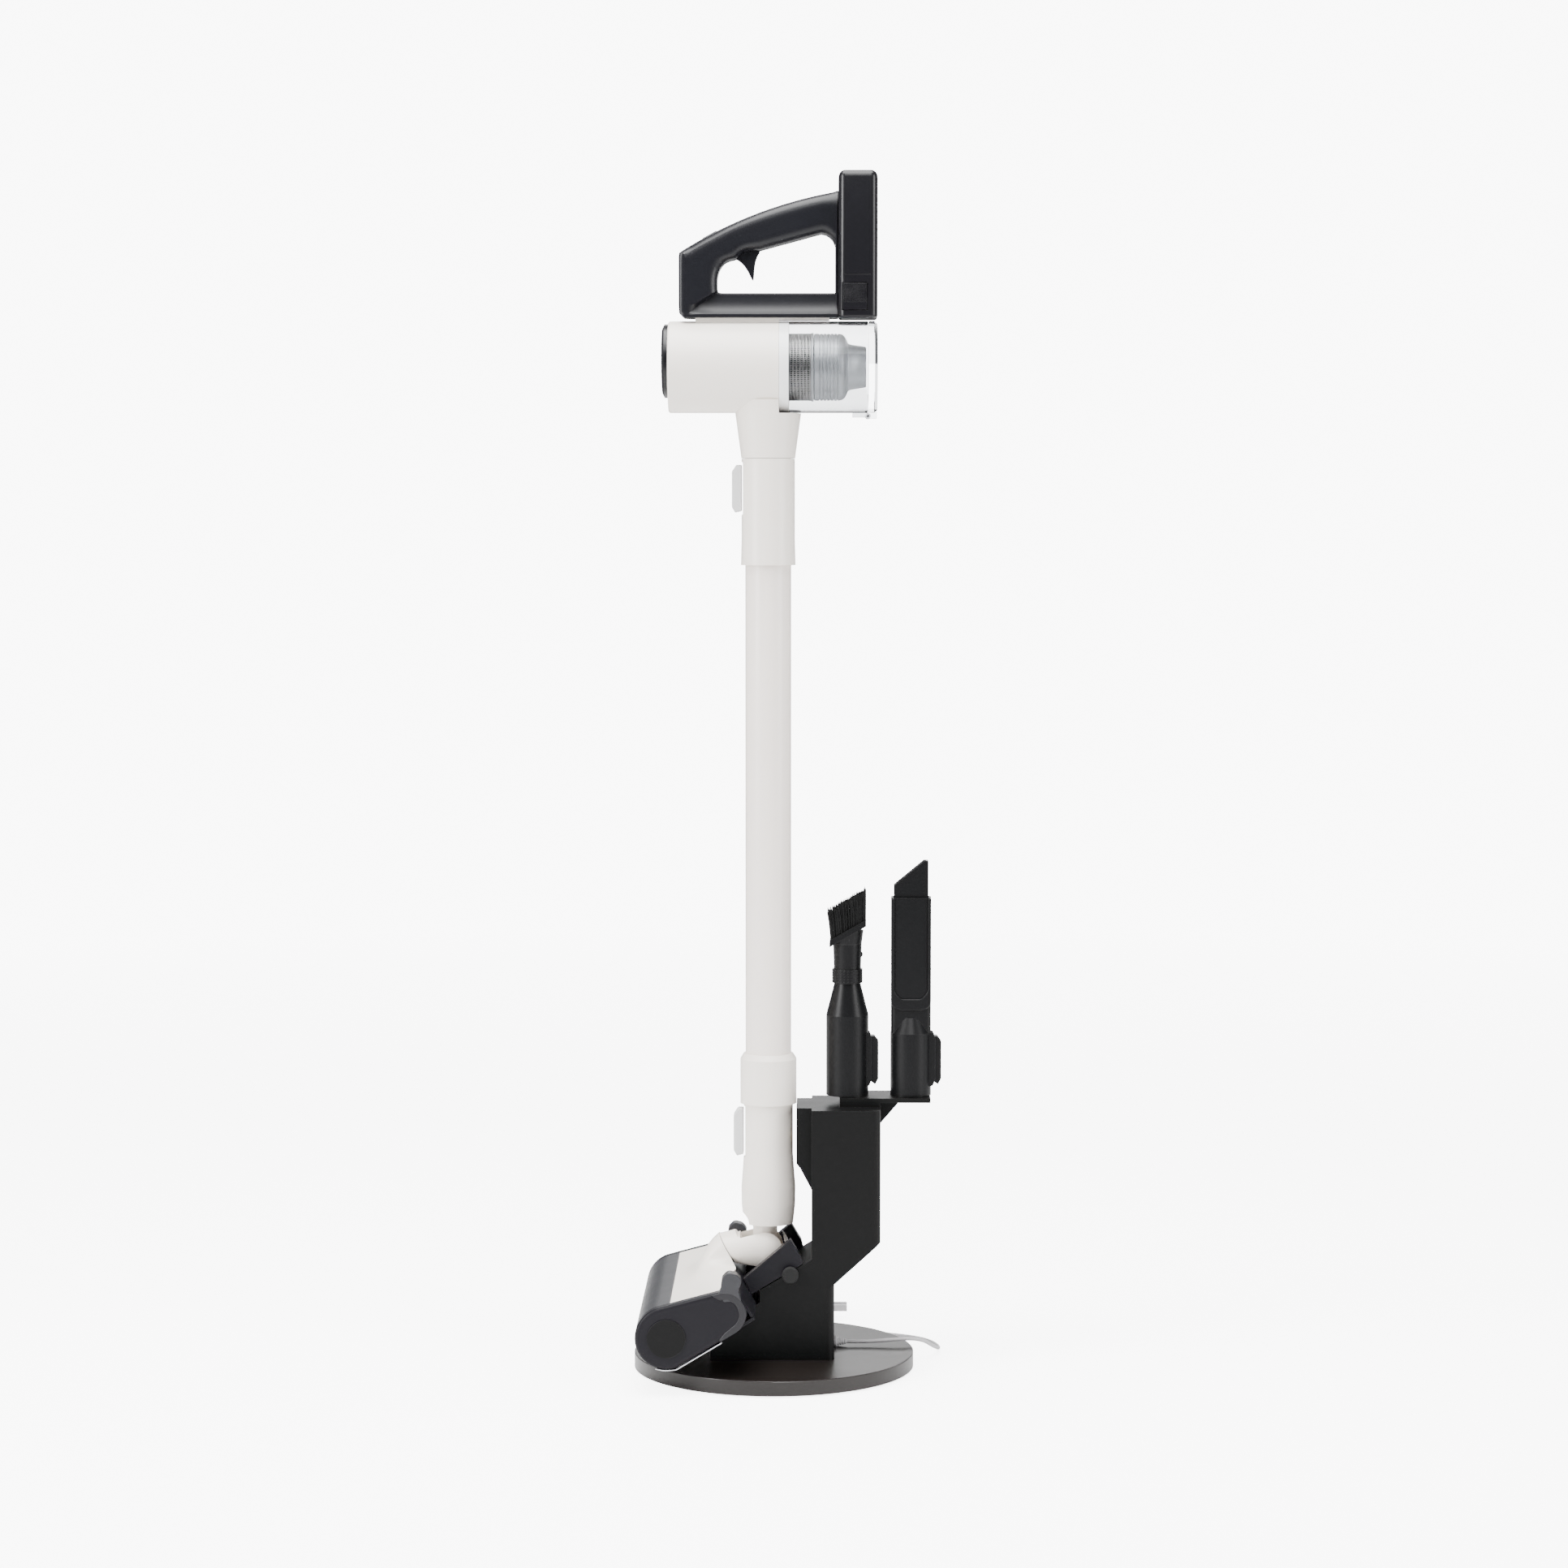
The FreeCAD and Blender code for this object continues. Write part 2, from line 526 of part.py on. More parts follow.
def make_head_covers():
    first, second, slope = tangent_points(SIZE["shroud"], SIZE["rear_r"])
    inner_first, inner_second, _ = tangent_points(SIZE["shroud_in"], SIZE["rear_in"])
    split = 17.5

    def on_line(start, x):
        return f"{start[1] + (x - start[0]) * math.tan(slope):.4f}"
    front = SIZE["shroud"]
    front_in = SIZE["shroud_in"]
    lip = math.radians(196)
    cover = slab([(f"{split:.3f}", on_line(first, split)),
                  (f"{first[0]:.4f}", f"{first[1]:.4f}"),
                  (f"{-front:.4f}", "0", "shroud", -1),
                  (f"{front * math.cos(lip):.4f}", f"{front * math.sin(lip):.4f}", "shroud", -1),
                  (f"{front_in * math.cos(lip):.4f}", f"{front_in * math.sin(lip):.4f}"),
                  (f"{-front_in:.4f}", "0", "shroud_in", 1),
                  (f"{inner_first[0]:.4f}", f"{inner_first[1]:.4f}", "shroud_in", 1),
                  (f"{split:.3f}", on_line(inner_first, split))], "cover_half*2")
    keep("front_cover", pitched(cover))
    start = split + 0.3
    shell = slab([(f"{start:.3f}", on_line(inner_first, start)),
                  (f"{inner_second[0]:.4f}", f"{inner_second[1]:.4f}"),
                  ("rear_x+rear_in", "rear_z", "rear_in", 1),
                  ("rear_x+rear_in", "sole+3.4"), ("rear_x+rear_r", "sole+3.4"),
                  ("rear_x+rear_r", "rear_z"),
                  (f"{second[0]:.4f}", f"{second[1]:.4f}", "rear_r", -1),
                  (f"{start:.3f}", on_line(first, start))], "cover_half*2")
    hump = doc.addObject("PartDesign::Body", "Body")
    low = new_sketch(hump, "XY_Plane", "hump_low")
    draw(low, [(30, -46), (76, -40), (76, 40), (30, 46)])
    high = new_sketch(hump, "XY_Plane", "hump_high")
    draw(high, [(59, -15), (84, -12), (84, 12), (59, 15)])
    loft = hump.newObject("PartDesign::AdditiveLoft", "Loft")
    loft.Profile = low
    loft.Sections = [high]
    loft.Ruled = True
    doc.recompute()
    cradle_room = box("rear_x+rear_in-4", "rear_x+rear_r+1", -46.4, 46.4, "sole", -1.4)
    keep("head_cover", pitched(cut(fuse(shell, hump), spigot_room(), elbow_room(),
                                   cradle_room)))


def make_chassis():
    plate = box(27, 74.6, "-cover_half", "cover_half", "sole", "sole+3")
    floor = box(68.4, 110, -44, 44, -18, -14.5)
    cheeks = []
    for low, high in (("-cheek_out", "-cheek_in"), ("cheek_in", "cheek_out")):
        cheek = slab([(70, -18), ("cheek_x-2", -18), ("cheek_x", -12), ("cheek_x", 6.6),
                      (76, "-2.4"), (75.4, -14)], "cheek_out-cheek_in")
        cheek.Placement.Base = Vector(0, (number(low) + number(high)) / 2, 0)
        cheeks.append(cheek)
    web = box(68.4, 72, -44, 44, "sole", -14.5)
    keep("head_chassis", pitched(cut(fuse(plate, floor, web, *cheeks), elbow_room())))


def make_roller():
    core = turned([(0, "-117.5"), ("spindle_dia/2", "-117.5"), ("spindle_dia/2", -101.5),
                   ("core_dia/2", -101.5), ("core_dia/2", 101.5),
                   ("spindle_dia/2", 101.5), ("spindle_dia/2", 117.5), (0, 117.5)])
    core.Placement = Placement(Vector(0, 0, SIZE["roller_z"]), Rotation(X_AXIS, -90))
    pulley = cylinder("roller_pulley_dia/2", "belt_out-belt_in", 0, "belt_in", "roller_z", "Y")
    for axis in "xyz":
        core.setExpression(f"Placement.Base.{axis}", None)
    keep("roller_core", pitched(fuse(core, pulley)))
    pile = turned(pipe("roller_dia/2", "core_dia/2+0.05", "-roller_half", "roller_half"))
    for axis in "xyz":
        pile.setExpression(f"Placement.Base.{axis}", None)
    pile.Placement = Placement(Vector(0, 0, SIZE["roller_z"]), Rotation(X_AXIS, -90))
    keep("roller_pile", pitched(pile))
    bearings = []
    for low in ("side_in+0.2", "-side_in-4.8"):
        ring = cut(cylinder("bearing_dia/2", 4.6, 0, low, "roller_z", "Y"),
                   cylinder("spindle_dia/2+0.05", 6, 0, f"{low}-0.5", "roller_z", "Y"))
        bearings.append(ring)
    keep("roller_bearings", pitched(group(*bearings)))


def make_drive():
    can = cylinder("motor_dia/2", 62, "motor_x", 36, "motor_z", "Y")
    shaft_hole = cylinder(1.55, 64, "motor_x", 90, "motor_z", "Y")
    keep("brush_motor", pitched(cut(can, shaft_hole)))
    keep("motor_pulley", pitched(fuse(
        cylinder("pulley_dia/2", "belt_out-belt_in", "motor_x", "belt_in", "motor_z", "Y"),
        cylinder(1.5, 16, "motor_x", 91, "motor_z", "Y"))))
    dx, dz = SIZE["motor_x"], SIZE["motor_z"] - SIZE["roller_z"]
    turn = math.degrees(math.atan2(dz, dx))

    def loop(grow, width):
        front = SIZE["roller_pulley_dia"] / 2 + grow
        rear = SIZE["pulley_dia"] / 2 + grow
        reach = math.hypot(dx, dz)
        lean = math.asin((front - rear) / reach)
        fx, fz = front * math.sin(lean), front * math.cos(lean)
        rx, rz = reach + rear * math.sin(lean), rear * math.cos(lean)
        return slab([(f"{fx:.4f}", f"{fz:.4f}"), (f"{-front:.4f}", "0", f"{front:.4f}", -1),
                     (f"{fx:.4f}", f"{-fz:.4f}", f"{front:.4f}", -1),
                     (f"{rx:.4f}", f"{-rz:.4f}"),
                     (f"{reach + rear:.4f}", "0", f"{rear:.4f}", -1),
                     (f"{rx:.4f}", f"{rz:.4f}", f"{rear:.4f}", -1)], f"{width:.3f}")
    belt = cut(loop(0.3 + SIZE["belt_thick"], SIZE["belt_out"] - SIZE["belt_in"] - 0.8),
               loop(0.3, 12))
    belt.Placement = Placement(
        Vector(0, (SIZE["belt_in"] + SIZE["belt_out"]) / 2, SIZE["roller_z"]),
        Rotation(Y_AXIS, -turn))
    keep("drive_belt", pitched(belt))


def make_head_trim():
    caps = [cylinder("cap_dia/2", 1.2, 0, y, 0, "Y") for y in ("side_out+0.02", "-side_out-1.22")]
    keep("end_caps", pitched(group(*caps)))
    strips = []
    for y in ("118", "-118"):
        strip = slab([("-14", "sole-0.9"), (56, "sole-0.9"), (56, "sole+0.5"), (-14, "sole+0.5"),
                      (-21, "sole+7"), (-22, "sole+6")], 10)
        strip.Placement.Base = Vector(0, number(y), 0)
        strips.append(strip)
    keep("sole_strips", pitched(group(*strips)))
    for name, low, axle in (("wheel_left", "-wheel_out", "-wheel_in"),
                            ("wheel_right", "wheel_in", "cheek_out")):
        wheel = cylinder("wheel_dia/2", "wheel_out-wheel_in", "wheel_x", low, "wheel_z", "Y")
        keep(name, pitched(soften(wheel, 1.2, lambda edge: isinstance(edge.Curve, Part.Circle))))


def make_elbow():
    x, z = "pivot_x", "pivot_z"
    spigot = cylinder("spigot_dia/2", "pivot_x-spigot_end", "spigot_end", 0, z, "X")
    dome = sphere("dome", x, 0, z)
    knuckle = cylinder("stem_r+0.5", "slot_half*2", x, "-slot_half", z, "Y")
    fan = slab([("pivot_x+stem_r+0.5", z), ("pivot_x+stem_r+0.5", "pivot_z+34"),
                ("pivot_x-36", "pivot_z+34"), ("pivot_x-12", "pivot_z-7")], "slot_half*2")
    duct = cylinder(8, "pivot_x-spigot_end+1", "spigot_end-1", 0, z, "X")
    keep("elbow", cut(fuse(spigot, dome), knuckle, fan, duct,
                      cylinder(2, 50, x, -25, z, "Y")))
    keep("pitch_pin", cylinder(2, 38, x, -19, z, "Y"))


def make_neck():
    socket, duct = "socket_dia/2", "duct_dia/2"
    body = turned([(duct, "neck_low"), (22.6, "neck_low"), (24.4, 150), (24.6, 166),
                   (22.3, 197), (22.3, "neck_top"), (socket, "neck_top"), (socket, 196),
                   (duct, 190)], "V_Axis", "neck_x", 0, 0)
    notch = cylinder(10.5, 60, -33, -30, 133.5, "Y")
    pocket = box(-29, -25, -7.6, 7.6, 193.4, 240.6)
    keep("nozzle_neck", cut(body, notch, pocket))
    barrel = cylinder("stem_r", "stem_half*2", "pivot_x", "-stem_half", "pivot_z", "Y")
    shank = cylinder(11.1, 60, "pivot_x", 0, "pivot_z")
    bore = cylinder(7, 70, "pivot_x", 0, 116, "Z")
    keep("neck_stem", cut(fuse(barrel, shank), bore,
                          cylinder(2.05, 50, "pivot_x", -25, "pivot_z", "Y")))
    keep("neck_button", latch_button(-27.6, 195, 238.4))


def latch_button(root, low, high):
    """Pale release button on the front of a neck or collar, pressed along +X."""
    return slab([(root, f"{high}"), (f"{root}-5", f"{high}"), (f"{root}-9", f"{high}-6"),
                 (f"{root}-9", f"{low}+5"), (f"{root}-6", f"{low}"), (root, f"{low}+1.5")], 14)


# ---------------------------------------------------------------- wand
def make_wand():
    keep("wand_tube", turned(pipe("tube_dia/2", "tube_bore/2", "lower_low+18", "upper_low+28"),
                             "V_Axis", "wand_x", 0, 0))
    keep("wand_lower_collar", turned(
        [("spigot_pipe_dia/2-2.6", 199), ("spigot_pipe_dia/2", 199),
         ("spigot_pipe_dia/2", "lower_low"), ("collar_dia/2", "lower_low"),
         ("collar_dia/2", "lower_top-5"), ("collar_dia/2-3", "lower_top"),
         ("tube_dia/2+0.05", "lower_top"), ("tube_dia/2+0.05", "lower_low+17.8"),
         ("spigot_pipe_dia/2-2.6", "lower_low+17.8")], "V_Axis", "wand_x", 0, 0))
    collar = turned(
        [("tube_dia/2+0.05", "upper_low"), ("upper_dia/2+0.6", "upper_low"),
         ("upper_dia/2", "upper_low+24"), ("upper_dia/2", "upper_top"),
         ("stub_dia/2+0.3", "upper_top"), ("stub_dia/2+0.3", 780),
         ("tube_bore/2", 772), ("tube_bore/2", "upper_low+28.2"),
         ("tube_dia/2+0.05", "upper_low+28.2")], "V_Axis", "wand_x", 0, 0)
    pocket = box(-29.4, -26.2, -7.6, 7.6, 777.4, 824.4)
    keep("wand_upper_collar", cut(collar, pocket))
    keep("wand_button", latch_button(-28.7, 779, 822))


# ---------------------------------------------------------------- main unit
def make_housing():
    barrel = turned([("barrel_front", 22), ("barrel_front", "barrel_dia/2-barrel_edge"),
                     ("barrel_front+barrel_edge", "barrel_dia/2"), ("barrel_rear", "barrel_dia/2"),
                     ("barrel_rear", "barrel_dia/2-barrel_wall"),
                     ("barrel_front+5", "barrel_dia/2-barrel_wall"), ("barrel_front+5", 22)],
                    "H_Axis", 0, 0, "barrel_z")
    funnel = cone(24.2, 31.2, "funnel_high-funnel_low", "wand_x", 0, "funnel_low")
    funnel_bore = cone("stub_bore/2", 22, "funnel_high-funnel_low+2", "wand_x", 0,
                       "funnel_low-1")
    stub = cylinder("stub_dia/2", "funnel_low-stub_low+4", "wand_x", 0, "stub_low")
    stub_bore = cylinder("stub_bore/2", 50, "wand_x", 0, "stub_low-1")
    inside = cylinder("barrel_dia/2-barrel_wall", "barrel_rear-barrel_front-5",
                      "barrel_front+5", 0, "barrel_z", "X")
    saddle = box(-70, 50, -11, 11, 946, 953)
    saddle = cut(saddle, cylinder("barrel_dia/2-1.5", 200, -90, 0, "barrel_z", "X"),
                 box("barrel_rear", 60, -20, 20, 940, 951.2))
    keep("motor_housing", fuse(
        barrel, saddle, cut(fuse(funnel, stub), funnel_bore, stub_bore, inside,
                            box("barrel_rear+0.0", 60, -50, 50, 868, 900))))


def make_motor():
    x, z = "barrel_front", "barrel_z"
    can = cut(cylinder("fan_can_dia/2", 38, "barrel_front+18", 0, z, "X"),
              cylinder("shaft_dia/2+0.06", 60, "barrel_front+10", 0, z, "X"))
    keep("fan_motor", can)
    blades = [cylinder("shaft_dia/2", 62, "barrel_front+12", 0, z, "X"),
              cone(10, 6, 16, "barrel_front+60", 0, z, "X"),
              cylinder("rotor_dia/2", 2, "barrel_front+59", 0, z, "X")]
    blade_count = 9
    for i in range(blade_count):
        blade = box("barrel_front+60.9", "barrel_front+72", -0.6, 0.6, "barrel_z+5",
                    "barrel_z+rotor_dia/2-2")
        for axis in "xyz":
            blade.setExpression(f"Placement.Base.{axis}", None)
        centre = point(0, 0, "barrel_z")
        turn = Rotation(X_AXIS, 360 * i / blade_count)
        blade.Placement = Placement(Vector(), turn, centre).multiply(blade.Placement)
        blades.append(blade)
    keep("fan_rotor", fuse(*blades))
    keep("exhaust_filter", turned(pipe_x("barrel_front+0.6", "barrel_front+9", 21, 13),
                                  "H_Axis", 0, 0, z))
    keep("front_cap", turned([("front_cap_in-0.4", 0), ("front_cap_in-0.4", "front_cap_dia/2"),
                              ("front_cap_out+3", "front_cap_dia/2"),
                              ("front_cap_out+1", "front_cap_dia/2-4"), ("front_cap_out", 0)],
                             "H_Axis", 0, 0, "cap_z"))


def pipe_x(low, high, radius, bore):
    """Outline of a pipe wall about the X axis for turned()."""
    return [(low, bore), (high, bore), (high, radius), (low, radius)]


def make_bin():
    z = "barrel_z"
    keep("bin_ring", turned(pipe_x("barrel_rear+0.2", "ring_rear", "barrel_dia/2",
                                   "barrel_dia/2-4"), "H_Axis", 0, 0, z))
    shell = turned(pipe_x("ring_rear+0.02", "bin_rear", "barrel_dia/2",
                          "barrel_dia/2-bin_wall"), "H_Axis", 0, 0, z)
    ears = []
    for low in ("-12", "6"):
        ear = fuse(cylinder("knuckle_dia/2", 6, "hinge_x", low, "hinge_z", "Y"),
                   box("hinge_x-14", "hinge_x-0.4", low, f"{low}+6", "hinge_z-1", "hinge_z+3.6"))
        ears.append(ear)
    pin_hole = cylinder("pin_dia/2", 40, "hinge_x", -20, "hinge_z", "Y")
    hollow = cylinder("barrel_dia/2-bin_wall", 90, "barrel_rear", 0, z, "X")
    keep("dust_bin", cut(fuse(shell, *ears), hollow, pin_hole))
    keep("lid_pin", cylinder("pin_dia/2", 23.8, "hinge_x", -11.9, "hinge_z", "Y"))
    lid = turned([("lid_front", 0), ("lid_front", "barrel_dia/2"),
                  ("lid_rear-2.5", "barrel_dia/2"), ("lid_rear", "barrel_dia/2-2.5"),
                  ("lid_rear", 0)], "H_Axis", 0, 0, z)
    arm = fuse(cylinder("knuckle_dia/2", 11.2, "hinge_x", -5.6, "hinge_z", "Y"),
               box("hinge_x+0.2", "lid_rear-0.4", -5.6, 5.6, "hinge_z-2", "hinge_z+5"))
    lid_hole = cylinder("pin_dia/2+0.06", 40, "hinge_x", -20, "hinge_z", "Y")
    ear_room = [box("hinge_x-3.4", "hinge_x+3.4", low, high, "hinge_z-4", "hinge_z+3.4")
                for low, high in ((-12.6, "-5.8"), (5.8, 12.6))]
    catch_room = box("lid_front-1", "lid_front+6.3", -8.3, 8.3, 942.4, 952)
    keep("bin_lid", cut(fuse(lid, arm), lid_hole, catch_room, *ear_room))
    keep("lid_catch", soften(box("lid_front+0.3", "lid_front+6", -8, 8, 945, 950.2), 1,
                             along(Y_AXIS)))
    keep("mesh_filter", turned(pipe_x("barrel_rear+0.4", "mesh_rear", "mesh_dia/2",
                                      "mesh_dia/2-1.2"), "H_Axis", 0, 0, z))
    ribs = []
    rib_count = 4
    for i in range(rib_count):
        start = 37.5 + 5.2 * i
        ribs += [(f"{start}", "mesh_dia/2"), (f"{start + 3.4}", "mesh_dia/2"),
                 (f"{start + 3.4}", "mesh_dia/2-1.4"), (f"{start + 5.2}", "mesh_dia/2-1.4")]
    keep("cyclone_body", turned(
        [("mesh_rear+0.2", 10), ("mesh_rear+0.2", "mesh_dia/2-1.4"),
         (37.5, "mesh_dia/2-1.4")] + ribs +
        [("cone_rear", "mesh_dia/2-6"), ("cone_rear+3", 15), ("funnel_rear", 13),
         ("funnel_rear", 10)], "H_Axis", 0, 0, z))


def make_handle():
    frame = slab([("pillar_front+6", "grip_low"), ("grip_back", "grip_low"),
                  ("grip_back", 1066), (46, 1063.2), ("pillar_front", 1011, 384, -1),
                  ("pillar_front", "grip_low+5")], "grip_half*2")
    loop = slab([("pillar_in", "bar_top"), ("loop_back", "bar_top"), ("loop_back", 1017),
                 (42.6, 1028, 13, -1), ("-13.4", 1013), ("-24.5", 1012.5),
                 ("-35.2", 1004.5), ("pillar_in", 987, 16.5, -1)], "grip_half*2+10")
    side = SIZE["grip_half"]

    def grip_edge(edge):
        bounds = edge.BoundBox
        on_side = abs(abs(bounds.YMin) - side) < 1e-3 and bounds.YLength < 1e-3
        return on_side and bounds.ZMax > 1012 and bounds.XMax < 50
    rounded = soften(frame, 7, grip_edge)
    rail = box("grip_back-1", "grip_back+3", "-rail_half", "rail_half", "rail_low", "rail_top")
    slot = box("-30.4", "-16", -3.4, 3.4, 1004, 1021.5)
    pin_room = cylinder(1.06, 12.6, "-24.6", -6.3, 1016.6, "Y")
    keep("handle_frame", cut(fuse(cut(rounded, loop), rail), slot, pin_room,
                             button_shape(0.35, 1.2)))
    lever = slab([("-28.5", 1019.5), ("-28.5", 1012), ("-21", 1000), ("-18.6", 986.6),
                  ("-17.2", 1000), ("-19", 1013), ("-20", 1019.5)], 6)
    keep("trigger", fuse(lever, cylinder(1, 12, "-24.6", -6, 1016.6, "Y")))
    keep("mode_button", button_shape(0, 0))


def button_shape(grow, sink):
    """Thumb button let into the slope of the handle's front end."""
    body = doc.addObject("Part::Box", "Button")
    body.Length, body.Width, body.Height = 14 + 2 * grow, 9 + 2 * grow, 4.6 + sink
    slope = math.degrees(math.atan2(1032 - 1020, 68 - 46))
    rotation = Rotation(Y_AXIS, -slope)
    middle = Vector(-57, 0, 1026.6)
    offset = Vector(-7 - grow, -4.5 - grow, -3.4 - sink)
    body.Placement = Placement(middle + rotation.multVec(offset), rotation)
    return body


def make_battery():
    block = box("battery_front", "battery_back", "-battery_half", "battery_half",
                "battery_low", "battery_top")
    block = soften(block, 7, along(Z_AXIS))
    doc.recompute()
    block = soften(block, 4, at_z(SIZE["battery_top"]))
    hollow = box("battery_front+5", "battery_back-battery_wall",
                 "-battery_half+battery_wall", "battery_half-battery_wall",
                 "battery_low+battery_wall", "battery_top-6")
    hollow = soften(hollow, 5.4, along(Z_AXIS))
    groove = box("battery_front-1", "battery_front+3", "-rail_half-0.3", "rail_half+0.3",
                 "battery_low-1", "rail_top+0.4")
    rooms = [box(61, 84, low, high, "battery_low+6", "battery_low+31")
             for low, high in (("-battery_half-1", "-battery_half+1.9"),
                               ("battery_half-1.9", "battery_half+1"))]
    keep("battery_case", cut(block, hollow, groove, *rooms))
    cells = []
    for level in (0, 1):
        for column in (-1, 0, 1):
            low = f"battery_low+battery_wall+0.3+{level * 60}"
            cells.append(cylinder("cell_dia/2", 59.5, 75.4, f"cell_dia*{column}", low))
    keep("battery_cells", group(*cells))
    for name, low, high in (("battery_button_left", "-battery_half-1.2", "-battery_half+0.6"),
                            ("battery_button_right", "battery_half-0.6", "battery_half+1.2")):
        button = box(61.4, 83.6, low, high, "battery_low+6.4", "battery_low+30.6")
        keep(name, soften(button, 0.5, along(Z_AXIS)))


for make in (make_base, make_column, make_bracket, make_cord, make_brush_tool,
             make_crevice_tool, make_side_covers, make_head_covers, make_chassis, make_roller,
             make_drive, make_head_trim, make_elbow, make_neck, make_wand, make_housing,
             make_motor, make_bin, make_handle, make_battery):
    make()
doc.recompute()

# ---------------------------------------------------------------- checks and export
problems = [f"{item.Name} {item.State}" for item in doc.Objects
            if "Invalid" in item.State or "Error" in item.State]
problems += [name for name, thing in nodes.items()
             if thing.Shape.isNull() or not thing.Shape.isValid() or not thing.Shape.Solids]
if problems:
    raise RuntimeError("failed: " + ", ".join(problems))
os.makedirs("parts", exist_ok=True)
for name, thing in nodes.items():
    print(f"{name}: {len(thing.Shape.Solids)} solid(s), {thing.Shape.Volume:.0f} mm3")
    thing.Shape.exportStep(f"parts/{name}.step")
print(len(nodes), "nodes")
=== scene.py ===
import json
import math
import random

import bmesh
import bpy
from mathutils import Matrix, Vector


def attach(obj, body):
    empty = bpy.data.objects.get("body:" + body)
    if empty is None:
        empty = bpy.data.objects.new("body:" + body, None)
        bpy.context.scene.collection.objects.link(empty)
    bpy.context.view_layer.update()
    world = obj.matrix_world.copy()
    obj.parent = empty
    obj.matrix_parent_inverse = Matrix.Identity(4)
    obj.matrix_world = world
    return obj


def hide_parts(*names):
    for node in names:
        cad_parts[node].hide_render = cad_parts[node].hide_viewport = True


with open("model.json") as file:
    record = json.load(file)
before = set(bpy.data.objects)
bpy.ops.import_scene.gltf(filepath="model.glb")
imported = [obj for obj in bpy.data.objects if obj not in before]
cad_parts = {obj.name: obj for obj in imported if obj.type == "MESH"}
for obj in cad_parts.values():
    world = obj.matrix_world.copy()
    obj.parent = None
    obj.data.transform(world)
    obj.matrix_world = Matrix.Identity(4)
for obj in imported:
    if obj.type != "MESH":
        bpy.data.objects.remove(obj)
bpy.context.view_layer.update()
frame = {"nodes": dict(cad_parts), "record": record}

nodes = frame["nodes"]
MM = 0.001
X, Y, Z = Vector((1, 0, 0)), Vector((0, 1, 0)), Vector((0, 0, 1))


# ---------------------------------------------------------------- camera
CAMERA_PLACE, CAMERA_AIM = (0.045, -3.366, 0.779), (0.0091875, 0, 0.534)
FOCAL_LENGTH, SENSOR_WIDTH = 85.56, 36


def make_camera():
    lens = bpy.data.cameras.new("StudioLens")
    lens.sensor_width = SENSOR_WIDTH
    lens.lens = FOCAL_LENGTH
    camera = bpy.data.objects.new("StudioCamera", lens)
    camera.location = CAMERA_PLACE
    aim = Vector(CAMERA_AIM) - camera.location
    camera.rotation_mode = "QUATERNION"
    camera.rotation_quaternion = aim.to_track_quat("-Z", "Y")
    bpy.context.scene.collection.objects.link(camera)
    bpy.context.scene.camera = camera


make_camera()

# ---------------------------------------------------------------- charger lead
# the lead's route over the base and the floor, in metres
CORD_ROUTE = [
    (0.067, 0.015, 0.0192), (0.084, 0.015, 0.0189), (0.105, 0.0156, 0.0203),
    (0.123, 0.018, 0.0214), (0.137, 0.025, 0.0186), (0.147, 0.038, 0.0098),
    (0.153, 0.056, 0.0034), (0.152, 0.076, 0.0018), (0.145, 0.096, 0.0019),
    (0.130, 0.112, 0.0018), (0.109, 0.122, 0.0019), (0.086, 0.130, 0.0018),
    (0.061, 0.137, 0.0019), (0.037, 0.1435, 0.0018), (0.012, 0.149, 0.0019),
    (-0.008, 0.1528, 0.0019)]
COIL_CENTRE = (-0.020, 0.176)
COIL_INNER, COIL_STEP = 0.016, 0.0035
COIL_FLOOR, COIL_LAYER = 0.0018, 0.00345
COIL_END = 10.5
POINTS_PER_TURN = 16
CORD_DIAMETER = 0.0034
# quarter turns in which the lead changes ring (-1 in, +1 out) or climbs a layer (0)
COIL_MOVES = [(0.75, -1), (1.75, -1), (2.5, 0), (3.25, 1), (4.25, 1), (5.0, 0), (5.75, -1),
              (6.75, -1), (7.5, 0), (8.25, 1), (9.25, 1)]


def coil_point(turn):
    """Point of the wound lead after that many turns; three rings wide, four layers high."""
    ring, layer = 2.0, 0.0
    for start, step in COIL_MOVES:
        share = min(max((turn - start) / 0.25, 0.0), 1.0)
        if step:
            ring += step * share
        else:
            layer += share
    radius = COIL_INNER + COIL_STEP * ring
    angle = -math.pi / 2 - 2 * math.pi * turn
    return (COIL_CENTRE[0] + radius * math.cos(angle), COIL_CENTRE[1] + radius * math.sin(angle),
            COIL_FLOOR + COIL_LAYER * layer)


def make_lead():
    points = list(CORD_ROUTE)
    points += [coil_point(i / POINTS_PER_TURN)
               for i in range(int(COIL_END * POINTS_PER_TURN) + 1)]
    points += [(-0.012, 0.199, 0.01215), (-0.0045, 0.199, 0.01215)]
    curve = bpy.data.curves.new("charger_lead", "CURVE")
    curve.dimensions = "3D"
    line = curve.splines.new("NURBS")
    line.points.add(len(points) - 1)
    for item, place in zip(line.points, points):
        item.co = (*place, 1)
    line.order_u = 3
    line.use_endpoint_u = True
    curve.resolution_u = 5
    curve.bevel_depth = CORD_DIAMETER / 2
    curve.bevel_resolution = 3
    curve.use_fill_caps = True
    lead = bpy.data.objects.new("charger_lead", curve)
    bpy.context.scene.collection.objects.link(lead)
    return lead


lead = make_lead()


# ---------------------------------------------------------------- shader groups
def new_group(name, inputs, outputs):
    """Empty shader group with float inputs {name: default} and outputs {name: kind}."""
    group = bpy.data.node_groups.new(name, "ShaderNodeTree")
    for label, amount in inputs.items():
        socket = group.interface.new_socket(label, in_out="INPUT", socket_type="NodeSocketFloat")
        socket.default_value = amount
    for label, kind in outputs.items():
        group.interface.new_socket(label, in_out="OUTPUT", socket_type="NodeSocket" + kind)
    return group


